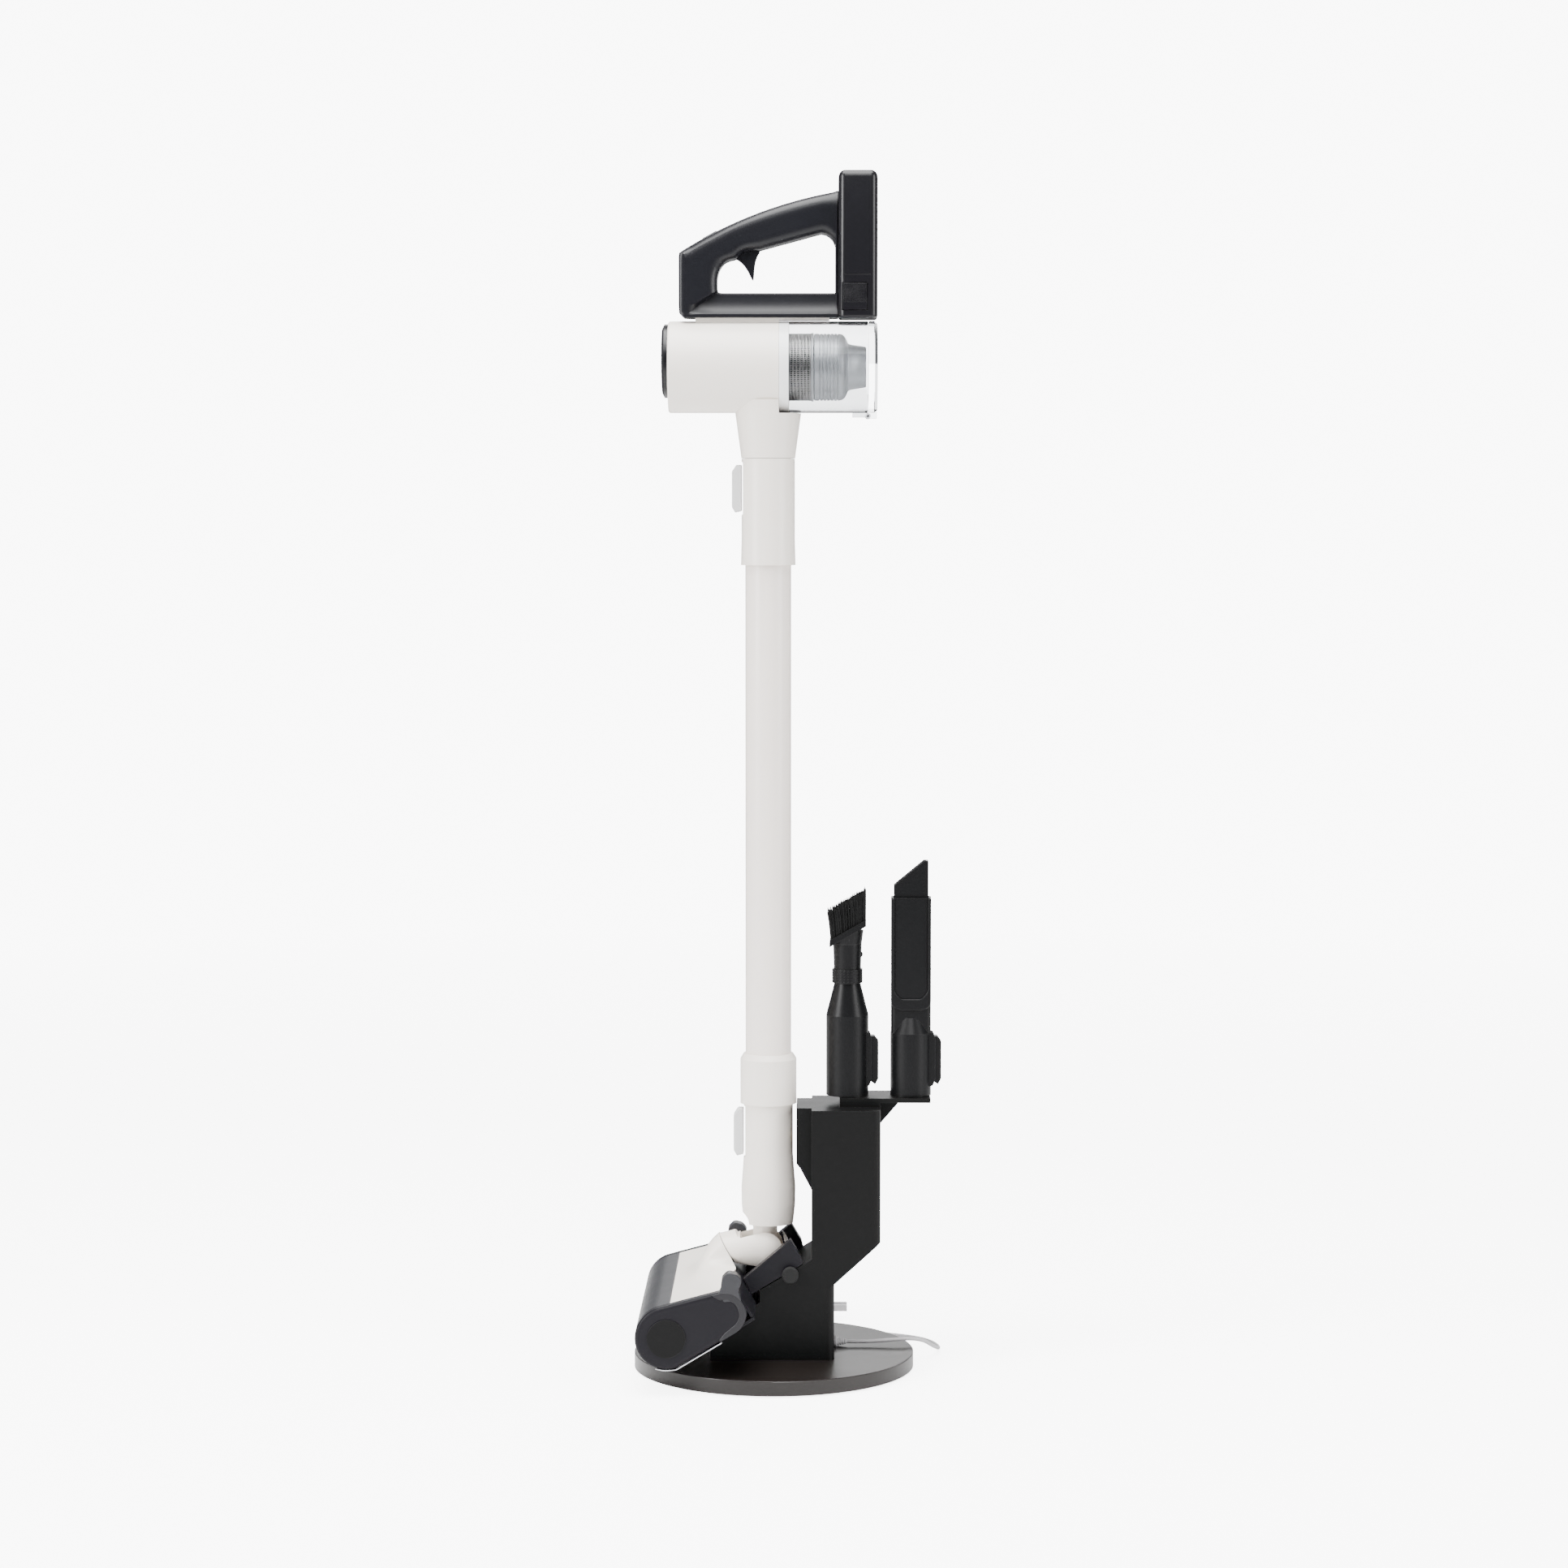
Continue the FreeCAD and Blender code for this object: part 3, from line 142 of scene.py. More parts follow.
def add(tree, kind, **settings):
    """Node of that kind; settings whose names are sockets set their values."""
    node = tree.nodes.new("ShaderNode" + kind)
    for key, amount in settings.items():
        if hasattr(node, key):
            setattr(node, key, amount)
        else:
            node.inputs[key.replace("_", " ")].default_value = amount
    return node


def maths(tree, operation, first, second=None, clamp=False):
    node = tree.nodes.new("ShaderNodeMath")
    node.operation = operation
    node.use_clamp = clamp
    for slot, item in zip(node.inputs, (first, second)):
        if hasattr(item, "links"):
            tree.links.new(item, slot)
        elif item is not None:
            slot.default_value = item
    return node.outputs[0]


def scaled_noise(tree, source, scale, detail=2.0, stretch=None):
    """Noise over the piece itself, with its coordinates multiplied by a socket or number."""
    vector = source
    if stretch:
        stretched = add(tree, "VectorMath", operation="MULTIPLY")
        tree.links.new(source, stretched.inputs[0])
        stretched.inputs[1].default_value = stretch
        vector = stretched.outputs[0]
    noise = add(tree, "TexNoise", Detail=detail)
    tree.links.new(vector, noise.inputs["Vector"])
    if hasattr(scale, "links"):
        tree.links.new(scale, noise.inputs["Scale"])
    else:
        noise.inputs["Scale"].default_value = scale
    return noise.outputs["Fac"]


def make_moulded_group():
    """Fine texture of a moulded or painted skin: height, and a slow drift of tone."""
    group = new_group("MouldedSkin", {"Grain Scale": 2500.0, "Orange Peel": 0.3},
                      {"Height": "Float", "Drift": "Float", "Speck": "Float"})
    ins, outs = group.nodes.new("NodeGroupInput"), group.nodes.new("NodeGroupOutput")
    where = add(group, "TexCoord").outputs["Object"]
    grain = scaled_noise(group, where, ins.outputs["Grain Scale"], 3.0)
    peel = scaled_noise(group, where, 320.0, 1.0)
    peel = maths(group, "MULTIPLY", peel, ins.outputs["Orange Peel"])
    group.links.new(maths(group, "ADD", grain, peel), outs.inputs["Height"])
    group.links.new(scaled_noise(group, where, 9.0, 3.0), outs.inputs["Drift"])
    speck = scaled_noise(group, where, 700.0, 4.0)
    speck = maths(group, "MULTIPLY", maths(group, "SUBTRACT", speck, 0.62), 6.0, True)
    group.links.new(speck, outs.inputs["Speck"])
    return group


def make_wear_group():
    """Mask of rubbed edges, broken up by noise, and a slow smudge over the whole piece."""
    group = new_group("RubbedEdges", {"Radius": 0.0012, "Breakup": 60.0},
                      {"Edge": "Float", "Smudge": "Float"})
    ins, outs = group.nodes.new("NodeGroupInput"), group.nodes.new("NodeGroupOutput")
    where = add(group, "TexCoord").outputs["Object"]
    geometry = add(group, "NewGeometry")
    rounded = add(group, "Bevel", samples=4)
    group.links.new(ins.outputs["Radius"], rounded.inputs["Radius"])
    turn = add(group, "VectorMath", operation="DOT_PRODUCT")
    group.links.new(rounded.outputs["Normal"], turn.inputs[0])
    group.links.new(geometry.outputs["Normal"], turn.inputs[1])
    edge = maths(group, "SUBTRACT", 1.0, turn.outputs["Value"])
    edge = maths(group, "MULTIPLY", edge, 7.0, True)
    broken = scaled_noise(group, where, ins.outputs["Breakup"], 4.0)
    broken = maths(group, "MULTIPLY", maths(group, "SUBTRACT", broken, 0.3), 2.4, True)
    group.links.new(maths(group, "MULTIPLY", edge, broken, True), outs.inputs["Edge"])
    group.links.new(scaled_noise(group, where, 26.0, 5.0), outs.inputs["Smudge"])
    return group


MOULDED, RUBBED = make_moulded_group(), make_wear_group()


def new_material(name):
    material = bpy.data.materials.new(name)
    material.use_nodes = True
    tree = material.node_tree
    return material, tree, tree.nodes["Principled BSDF"]


def placed_group(tree, group, **settings):
    node = tree.nodes.new("ShaderNodeGroup")
    node.node_tree = group
    for key, amount in settings.items():
        node.inputs[key.replace("_", " ")].default_value = amount
    return node


def tinted(colour, gain):
    return tuple(min(part * gain, 1.0) for part in colour) + (1.0,)


def blend_colours(tree, share, first, second):
    mix = add(tree, "Mix", data_type="RGBA")
    tree.links.new(share, mix.inputs[0])
    for slot, item in ((6, first), (7, second)):
        if hasattr(item, "links"):
            tree.links.new(item, mix.inputs[slot])
        else:
            mix.inputs[slot].default_value = item
    return mix.outputs[2]


def between(tree, share, low, high):
    """Share from 0 to 1 spread over low to high."""
    spread = add(tree, "MapRange")
    spread.inputs["To Min"].default_value = low
    spread.inputs["To Max"].default_value = high
    tree.links.new(share, spread.inputs["Value"])
    return spread.outputs["Result"]


def add_bump(tree, shader, height, strength, distance):
    bump = add(tree, "Bump", Strength=strength, Distance=distance)
    tree.links.new(height, bump.inputs["Height"])
    tree.links.new(bump.outputs["Normal"], shader.inputs["Normal"])


def skin(name, colour, roughness, grain=2500.0, peel=0.3, relief=0.15, drift=0.06,
         wear=0.25, gloss=0.5, coat=0.0, metallic=0.0):
    """Moulded, painted or plated finish with grain, drift of tone, specks and worn edges."""
    material, tree, shader = new_material(name)
    moulded = placed_group(tree, MOULDED, Grain_Scale=grain, Orange_Peel=peel)
    rubbed = placed_group(tree, RUBBED)
    tone = blend_colours(tree, between(tree, moulded.outputs["Drift"], 0.0, 1.0),
                         tinted(colour, 1 - drift), tinted(colour, 1 + drift))
    tone = blend_colours(tree, between(tree, moulded.outputs["Speck"], 0.0, 0.25),
                         tone, tinted(colour, 0.6))
    paler = tuple(part + (0.9 - part) * wear * 0.35 for part in colour)
    tone = blend_colours(tree, between(tree, rubbed.outputs["Edge"], 0.0, 0.5), tone,
                         paler + (1.0,))
    tree.links.new(tone, shader.inputs["Base Color"])
    rough = between(tree, rubbed.outputs["Smudge"], roughness * 0.85, roughness * 1.2)
    tree.links.new(rough, shader.inputs["Roughness"])
    shader.inputs["Specular IOR Level"].default_value = gloss
    shader.inputs["Coat Weight"].default_value = coat
    shader.inputs["Coat Roughness"].default_value = 0.12
    shader.inputs["Metallic"].default_value = metallic
    add_bump(tree, shader, moulded.outputs["Height"], relief, 0.00012)
    return material


def clear_plastic(name, tint, roughness):
    """Clear moulded plastic with faint flow marks and fine scratches."""
    material, tree, shader = new_material(name)
    moulded = placed_group(tree, MOULDED, Grain_Scale=600.0, Orange_Peel=1.0)
    tone = blend_colours(tree, between(tree, moulded.outputs["Drift"], 0.0, 1.0),
                         tinted(tint, 0.985), tinted(tint, 1.0))
    tree.links.new(tone, shader.inputs["Base Color"])
    rubbed = placed_group(tree, RUBBED)
    rough = between(tree, rubbed.outputs["Smudge"], roughness * 0.7, roughness * 1.4)
    tree.links.new(rough, shader.inputs["Roughness"])
    shader.inputs["Transmission Weight"].default_value = 1.0
    shader.inputs["IOR"].default_value = 1.2
    add_bump(tree, shader, moulded.outputs["Height"], 0.04, 0.0001)
    return material


def brushed_metal(name, colour, roughness, stretch):
    """Metal with fine parallel brush lines and slightly polished edges."""
    material, tree, shader = new_material(name)
    where = add(tree, "TexCoord").outputs["Object"]
    lines = scaled_noise(tree, where, 900.0, 3.0, stretch)
    rubbed = placed_group(tree, RUBBED, Radius=0.0006)
    tone = blend_colours(tree, lines, tinted(colour, 0.82), tinted(colour, 1.12))
    tone = blend_colours(tree, between(tree, rubbed.outputs["Edge"], 0.0, 0.6), tone,
                         tinted(colour, 1.3))
    tree.links.new(tone, shader.inputs["Base Color"])
    tree.links.new(between(tree, lines, roughness * 0.7, roughness * 1.4),
                   shader.inputs["Roughness"])
    shader.inputs["Metallic"].default_value = 1.0
    add_bump(tree, shader, lines, 0.15, 0.00005)
    return material


def soft_fibre(name, colour, tip, scale, sheen):
    """Short pile, felt or bristle: mottled strands with a sheen."""
    material, tree, shader = new_material(name)
    where = add(tree, "TexCoord").outputs["Object"]
    strands = scaled_noise(tree, where, scale, 5.0)
    drift = scaled_noise(tree, where, 40.0, 2.0)
    tone = blend_colours(tree, strands, colour + (1.0,), tip + (1.0,))
    tone = blend_colours(tree, between(tree, drift, 0.0, 0.3), tone, tinted(colour, 0.6))
    tree.links.new(tone, shader.inputs["Base Color"])
    tree.links.new(between(tree, strands, 0.7, 1.0), shader.inputs["Roughness"])
    shader.inputs["Specular IOR Level"].default_value = 0.15
    shader.inputs["Sheen Weight"].default_value = sheen
    shader.inputs["Sheen Roughness"].default_value = 0.4
    add_bump(tree, shader, strands, 0.6, 0.0004)
    return material


FINISHES = {
    "white_shell": skin("white_shell", (0.82, 0.765, 0.70), 0.34, coat=0.1, relief=0.08, wear=0.1),
    "white_tube": skin("white_tube", (0.82, 0.75, 0.695), 0.30, peel=0.6, relief=0.06, wear=0.1),
    "pale_button": skin("pale_button", (0.60, 0.60, 0.60), 0.42, wear=0.2),
    "dark_handle": skin("dark_handle", (0.0045, 0.0045, 0.0065), 0.33, gloss=0.28, grain=3200.0,
                        relief=0.3, wear=0.12),
    "dark_battery": skin("dark_battery", (0.0038, 0.0035, 0.005), 0.28, gloss=0.32, wear=0.12),
    "black_stand": skin("black_stand", (0.0034, 0.0034, 0.0034), 0.42, gloss=0.11, relief=0.3,
                        wear=0.10),
    "base_board": skin("base_board", (0.009, 0.0068, 0.006), 0.3, gloss=0.3, peel=0.8,
                       drift=0.2, wear=0.12, coat=0.08),
    "grey_cover": skin("grey_cover", (0.026, 0.026, 0.029), 0.38, gloss=0.22, wear=0.15),
    "dark_cover": skin("dark_cover", (0.0065, 0.006, 0.008), 0.40, gloss=0.13, wear=0.15),
    "rim_grey": skin("rim_grey", (0.013, 0.0125, 0.0145), 0.34, gloss=0.22, wear=0.15),
    "tool_black": skin("tool_black", (0.0034, 0.0034, 0.0038), 0.34, gloss=0.15, relief=0.12,
                       wear=0.1),
    "cap_black": skin("cap_black", (0.005, 0.005, 0.005), 0.5, gloss=0.1, wear=0.15),
    "clear_bin": clear_plastic("clear_bin", (0.62, 0.627, 0.635), 0.03),
    "pale_ring": skin("pale_ring", (0.8, 0.81, 0.82), 0.25, coat=0.3, wear=0.1),
    "steel": brushed_metal("steel", (0.55, 0.55, 0.57), 0.28, (1.0, 12.0, 1.0)),
    "mesh_steel": brushed_metal("mesh_steel", (0.42, 0.412, 0.405), 0.35, (12.0, 1.0, 1.0)),
    "cyclone_grey": skin("cyclone_grey", (0.60, 0.62, 0.65), 0.3, coat=0.2, wear=0.2,
                         metallic=0.3),
    "rubber_black": skin("rubber_black", (0.010, 0.010, 0.010), 0.75, gloss=0.2, relief=0.5,
                         wear=0.05),
    "roller_pile": soft_fibre("roller_pile", (0.010, 0.010, 0.012), (0.04, 0.04, 0.05),
                              2200.0, 0.4),
    "bristle": soft_fibre("bristle", (0.0025, 0.0025, 0.0025), (0.006, 0.006, 0.006), 1500.0,
                          0.05),
    "cord_white": skin("cord_white", (0.42, 0.41, 0.42), 0.45, relief=0.2, wear=0.1),
    "brass_pin": brushed_metal("brass_pin", (0.80, 0.60, 0.28), 0.25, (1.0, 1.0, 8.0)),
    "cell_wrap": skin("cell_wrap", (0.05, 0.13, 0.24), 0.25, coat=0.3),
    "filter_felt": soft_fibre("filter_felt", (0.45, 0.45, 0.43), (0.62, 0.62, 0.60), 1800.0, 0.3),
    "aluminium_rotor": brushed_metal("aluminium_rotor", (0.62, 0.63, 0.64), 0.3,
                                     (1.0, 1.0, 10.0)),
}


# ---------------------------------------------------------------- mesh helpers
SHARP = 32.0


def new_piece(name, verts, faces, body, finish, sharp=SHARP):
    """Mesh object from points in metres, riding on a body, smooth but for sharp edges."""
    mesh = bpy.data.meshes.new(name)
    mesh.from_pydata([tuple(item) for item in verts], [], faces)
    mesh.validate()
    shape = bmesh.new()
    shape.from_mesh(mesh)
    bmesh.ops.remove_doubles(shape, verts=shape.verts, dist=1e-6)
    bmesh.ops.recalc_face_normals(shape, faces=shape.faces)
    shape.to_mesh(mesh)
    shape.free()
    return finish_piece(name, mesh, body, finish, sharp)


def shade(mesh, sharp=SHARP):
    """Smooth shading with a crease wherever faces meet at more than that many degrees."""
    for face in mesh.polygons:
        face.use_smooth = True
    mesh.set_sharp_from_angle(angle=math.radians(sharp))


def finish_piece(name, mesh, body, finish, sharp=SHARP):
    """Object for the mesh, with its finish, riding on its body."""
    shade(mesh, sharp)
    piece = bpy.data.objects.new(name, mesh)
    bpy.context.scene.collection.objects.link(piece)
    mesh.materials.append(FINISHES[finish])
    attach(piece, body)
    return piece


def bevelled(piece, width, segments=3, angle=30.0):
    bevel = piece.modifiers.new("RoundedEdges", "BEVEL")
    bevel.width = width * MM
    bevel.segments = segments
    bevel.limit_method = "ANGLE"
    bevel.angle_limit = math.radians(angle)
    bevel.harden_normals = True
    return piece


def turned(name, profile, centre, axis, body, finish, steps=96, sharp=SHARP):
    """Closed profile of (along, radius) corners in mm, turned about an axis."""
    along = {"X": X, "Z": Z}[axis]
    across = {"X": Y, "Z": X}[axis]
    other = along.cross(across)
    rings = []
    for i in range(steps):
        turn = 2 * math.pi * i / steps
        spoke = across * math.cos(turn) + other * math.sin(turn)
        rings.append([(Vector(centre) + along * reach + spoke * radius) * MM
                      for reach, radius in profile])
    return lofted(name, rings, body, finish, closed=True, sharp=sharp)


def eased(corners, segments=4):
    """Closed outline whose corners (a, b, radius) are rounded by that radius."""
    result, count = [], len(corners)
    for i, corner in enumerate(corners):
        here = Vector(corner[:2])
        radius = corner[2]
        if radius <= 0:
            result.append(tuple(here))
            continue
        before = (Vector(corners[i - 1][:2]) - here)
        after = (Vector(corners[(i + 1) % count][:2]) - here)
        half = before.angle(after) / 2
        reach = min(radius / math.tan(half), before.length * 0.49, after.length * 0.49)
        real = reach * math.tan(half)
        first, last = here + before.normalized() * reach, here + after.normalized() * reach
        centre = here + (before.normalized() + after.normalized()).normalized() \
            * (real / math.sin(half))
        for step in range(segments + 1):
            share = step / segments
            spot = (first - centre).lerp(last - centre, share)
            result.append(tuple(centre + spot.normalized() * real))
    return result


def lofted(name, rings, body, finish, closed=False, sharp=SHARP):
    """Skin over rings of equally many points; capped at both ends unless closed."""
    count = len(rings[0])
    verts = [point for ring in rings for point in ring]
    faces = []
    last = len(rings) if closed else len(rings) - 1
    for i in range(last):
        after = (i + 1) % len(rings)
        for j in range(count):
            k = (j + 1) % count
            faces.append((i * count + j, i * count + k, after * count + k, after * count + j))
    if not closed:
        faces.append(tuple(range(count)))
        faces.append(tuple((len(rings) - 1) * count + j for j in reversed(range(count))))
    return new_piece(name, verts, faces, body, finish, sharp)


def cut_away(piece, *cutters):
    """Takes the cutters' volumes out of a piece and leaves a plain mesh."""
    for cutter in cutters:
        boolean = piece.modifiers.new("Cut", "BOOLEAN")
        boolean.object = cutter
        boolean.solver = "EXACT"
    bpy.context.view_layer.update()
    evaluated = piece.evaluated_get(bpy.context.evaluated_depsgraph_get())
    mesh = bpy.data.meshes.new_from_object(evaluated)
    piece.modifiers.clear()
    piece.data = mesh
    shade(mesh)
    for cutter in cutters:
        bpy.data.objects.remove(cutter)


def cutter_box(low, high, matrix=None):
    """Box between two corners in mm, used only for cutting."""
    mesh = bpy.data.meshes.new("Cutter")
    shape = bmesh.new()
    bmesh.ops.create_cube(shape, size=1.0)
    size = Vector(high) - Vector(low)
    middle = (Vector(high) + Vector(low)) / 2
    for vert in shape.verts:
        vert.co = Vector(a * b for a, b in zip(vert.co, size)) + middle
        if matrix:
            vert.co = matrix @ vert.co
        vert.co *= MM
    shape.to_mesh(mesh)
    shape.free()
    cutter = bpy.data.objects.new("Cutter", mesh)
    bpy.context.scene.collection.objects.link(cutter)
    return cutter


def rounded_node(name, width):
    """Softens the edges of a carried-over part without touching its own mesh."""
    node = nodes[name]
    if "custom_normal" in node.data.attributes:
        node.data.attributes.remove(node.data.attributes["custom_normal"])
    for face in node.data.polygons:
        face.use_smooth = True
    weld = node.modifiers.new("Weld", "WELD")
    weld.merge_threshold = 1e-6
    bevelled(node, width)


def interpolated(table, x):
    """Straight-line reading of a table of (x, value) pairs."""
    if x <= table[0][0]:
        return table[0][1]
    for (low, first), (high, second) in zip(table, table[1:]):
        if x <= high:
            return first + (second - first) * (x - low) / (high - low)
    return table[-1][1]


def smooth(x):
    """Eased step from 0 to 1, level at both ends."""
    x = min(max(x, 0.0), 1.0)
    return x * x * (3 - 2 * x)


# ---------------------------------------------------------------- finishes of carried-over parts
NODE_FINISH = {item["node"]: item["material_slot"] for item in frame["record"]["subparts"]}
NODE_FINISH.update({"battery_case": "dark_battery", "end_caps": "cap_black",
                    "front_cap": "dark_battery", "neck_stem": "white_shell"})
for name in ("brush_tool_body", "brush_head", "brush_button", "crevice_sleeve", "crevice_tip",
             "crevice_button"):
    NODE_FINISH[name] = "tool_black"
for name, node in nodes.items():
    node.data.materials.clear()
    node.data.materials.append(FINISHES[NODE_FINISH[name]])

ROUNDED = {"stand_column": 1.2, "charge_tongue": 0.8, "tool_bracket": 0.7, "brush_head": 0.6,
           "brush_button": 0.8, "crevice_button": 0.8, "crevice_tip": 0.5,
           "neck_button": 1.2, "wand_button": 1.2, "front_cover": 0.5, "head_chassis": 0.6,
           "lid_catch": 0.4, "mode_button": 0.6}
for name, width in ROUNDED.items():
    rounded_node(name, width)


# ---------------------------------------------------------------- handle
GRIP_CENTRE, GRIP_RADIUS = (120.5, 686.5), 384.0
SHARES = (0, .03, .08, .14, .2, .3, .4, .52, .65, .76, .85, .91, .95, .98, 1)
BAR_WIDTHS = [(0, 17), (.12, 17), (.16, 16.6), (.2, 15.6), (.3, 13.7), (.4, 12.5), (.52, 11.6),
              (.65, 11), (.85, 10.4), (.95, 10.2), (.98, 9.9), (1, 9.3)]
PILLAR_WIDTHS = [(0, 14.6), (.03, 16.0), (.08, 16.9), (.14, 17), (.76, 17), (.85, 16.2),
                 (.91, 15.0), (.95, 13.8), (.98, 12.7), (1, 11.8)]
GRIP_WIDTHS = [(0, 8), (.03, 10.6), (.08, 13.4), (.14, 15.4), (.2, 16.5), (.3, 17), (.76, 17),
               (.85, 16.2), (.91, 14.8), (.95, 13.2), (.98, 11.8), (1, 10.2)]


def grip_top(x):
    """Height of the grip's arched top at that place along it."""
    return GRIP_CENTRE[1] + math.sqrt(GRIP_RADIUS ** 2 - (x - GRIP_CENTRE[0]) ** 2)


def make_handle():
    """Closed loop of rings; each runs from an outer point to an inner one, (x, z, x, z)."""
    bar = [(57.6, 953, 55, 975), (44, 953, 43, 975), (20, 953, 20, 975), (-8, 953, -8, 975),
           (-34, 953, -32, 975), (-56, 953, -42, 975), (-68, 953, -46.5, 975),
           (-76, 953, -49.2, 975.6), (-80.6, 953.4, -49.9, 976.2)]
    pillar = [(-84.4, 957, -50.3, 977.4), (-84.8, 964, -50.5, 980), (-84.8, 974, -50.5, 983),
              (-84.8, 985, -50.5, 986.5), (-84.8, 994, -50.1, 990), (-84.8, 1001, -49.2, 994),
              (-84.8, 1007, -47.8, 997.2), (-84.2, 1010.6, -46, 999.8)]
    under = [(-80, -44, 1001.8), (-75, -41.5, 1003.2), (-68.5, -39, 1004.2), (-62, -36, 1004.9),
             (-55, -33.4, 1005.6), (-48, -31, 1008.4), (-41, -28.5, 1010.6), (-34, -25.4, 1012),
             (-27, -21.5, 1012.7), (-20, -17.5, 1012.9), (-13, -12.6, 1013.2),
             (-4, -5, 1015.3), (8, 6, 1018.2), (20, 18, 1021.4), (31, 29, 1024.4),
             (38, 37, 1026.6), (42.5, 42.6, 1028), (46.5, 46.6, 1027.2), (50, 50, 1025),
             (53, 52.6, 1022.4)]
    grip = [(x, grip_top(x), *low) for x, *low in under]
    back = [(57.6, 1066, 55, 1017), (57.6, 1030, 55, 1004), (57.6, 990, 55, 990)]
    rings = []
    for spots, widths in ((bar, BAR_WIDTHS), (pillar, PILLAR_WIDTHS), (grip, GRIP_WIDTHS),
                          (back, GRIP_WIDTHS)):
        for x, z, inner_x, inner_z in spots:
            sides = []
            for share in SHARES:
                half = interpolated(widths, share)
                sides.append((x + (inner_x - x) * share, half, z + (inner_z - z) * share))
            ring = [Vector(item) * MM for item in sides]
            ring += [Vector((a, -b, c)) * MM for a, b, c in reversed(sides)]
            rings.append(ring)
    handle = lofted("handle_shell", rings, "main_unit", "dark_handle", closed=True, sharp=40)
    lean = Matrix.Translation((-57, 0, 1026.6)) @ Matrix.Rotation(-math.atan2(12, 22), 4, "Y")
    cut_away(handle, cutter_box((-7.35, -4.85, -4.6), (7.35, 4.85, 6), lean),
             cutter_box((-37, -3.4, 1001), (-11.4, 3.4, 1021.5)))
    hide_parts("handle_frame")
    rail = plate("battery_rail", [(56.2, 953.4), (60.6, 953.4), (60.6, 1064.4), (59.4, 1065.4),
                                  (56.2, 1065.4)], -8, 8, "main_unit", "dark_handle", 0.5)
    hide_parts("handle_frame")
    spike = plate("trigger_lever", [
        (-27, 1019.5), (-31, 1014), (-33.4, 1008.6), (-34, 1005.8), (-32.6, 1004.9),
        (-29.6, 1002.9), (-26.4, 999.6), (-23.6, 995.4), (-21.2, 990.8), (-19.3, 986.9),
        (-18.2, 986.6), (-17.7, 990.6), (-17.3, 996.4), (-16.5, 1002.4), (-14.9, 1007.6),
        (-12.6, 1011.4), (-12.4, 1014), (-16, 1018), (-20, 1019.5)],
        -3, 3, "trigger", "dark_handle", 1.0)
    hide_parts("trigger")


def plate(name, outline, low, high, body, finish, edge, matrix=None):
    """Flat outline (x, z) in mm between two depths, with rounded edges."""
    place = matrix or Matrix.Identity(4)
    verts = [(place @ Vector((a, depth, b))) * MM for depth in (low, high) for a, b in outline]
    count = len(outline)
    faces = [tuple(range(count)), tuple(range(2 * count - 1, count - 1, -1))]
    faces += [(i, (i + 1) % count, count + (i + 1) % count, count + i) for i in range(count)]
    return bevelled(new_piece(name, verts, faces, body, finish), edge)


def rounded_block(name, centre, half, corner, levels, body, finish):
    """Upright block: rounded-corner plan, stacked at (z, inset) levels."""
    rings = []
    for z, inset in levels:
        a, b, r = half[0] - inset, half[1] - inset, max(corner - inset, 0.6)
        ring = []
        for sx, sy, start in ((1, 1, 0), (-1, 1, 90), (-1, -1, 180), (1, -1, 270)):
            for step in range(9):
                angle = math.radians(start + step * 90 / 8)
                ring.append(Vector((centre[0] + sx * (a - r) + r * math.cos(angle),
                                    centre[1] + sy * (b - r) + r * math.sin(angle), z)) * MM)
        rings.append(ring)
    return lofted(name, rings, body, finish)


def make_battery():
    case = rounded_block("battery_shell", (75.35, 0), (17.45, 30), 6.5, [
        (952.6, 1.6), (952.9, .8), (953.6, .2), (954.6, 0), (1076.6, 0), (1078.8, .4),
        (1080.6, 1.3), (1082, 2.8), (1082.8, 4.8), (1083, 7)], "battery", "dark_battery")
    cutters = [cutter_box((62.9, -27.4, 955.2), (90.2, 27.4, 1077)),
               cutter_box((56.9, -8.3, 951.6), (60.95, 8.3, 1065.9))]
    for low, high in ((-31, -28.1), (28.1, 31)):
        cutters.append(cutter_box((61, low, 958.6), (84, high, 983.6)))
    for low, high in ((-31, -29.55), (29.55, 31)):
        cutters.append(cutter_box((60.0, low, 954.5), (60.5, high, 1074)))
        cutters.append(cutter_box((60.5, low, 990.4), (86.4, high, 990.9)))
    cut_away(case, *cutters)
    bevelled(case, 0.3, 2, 40)
    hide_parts("battery_case")
    for name, side in (("battery_button_left", -1), ("battery_button_right", 1)):
        key = ribbed_key(name.replace("button", "key"), side)
        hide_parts(name)


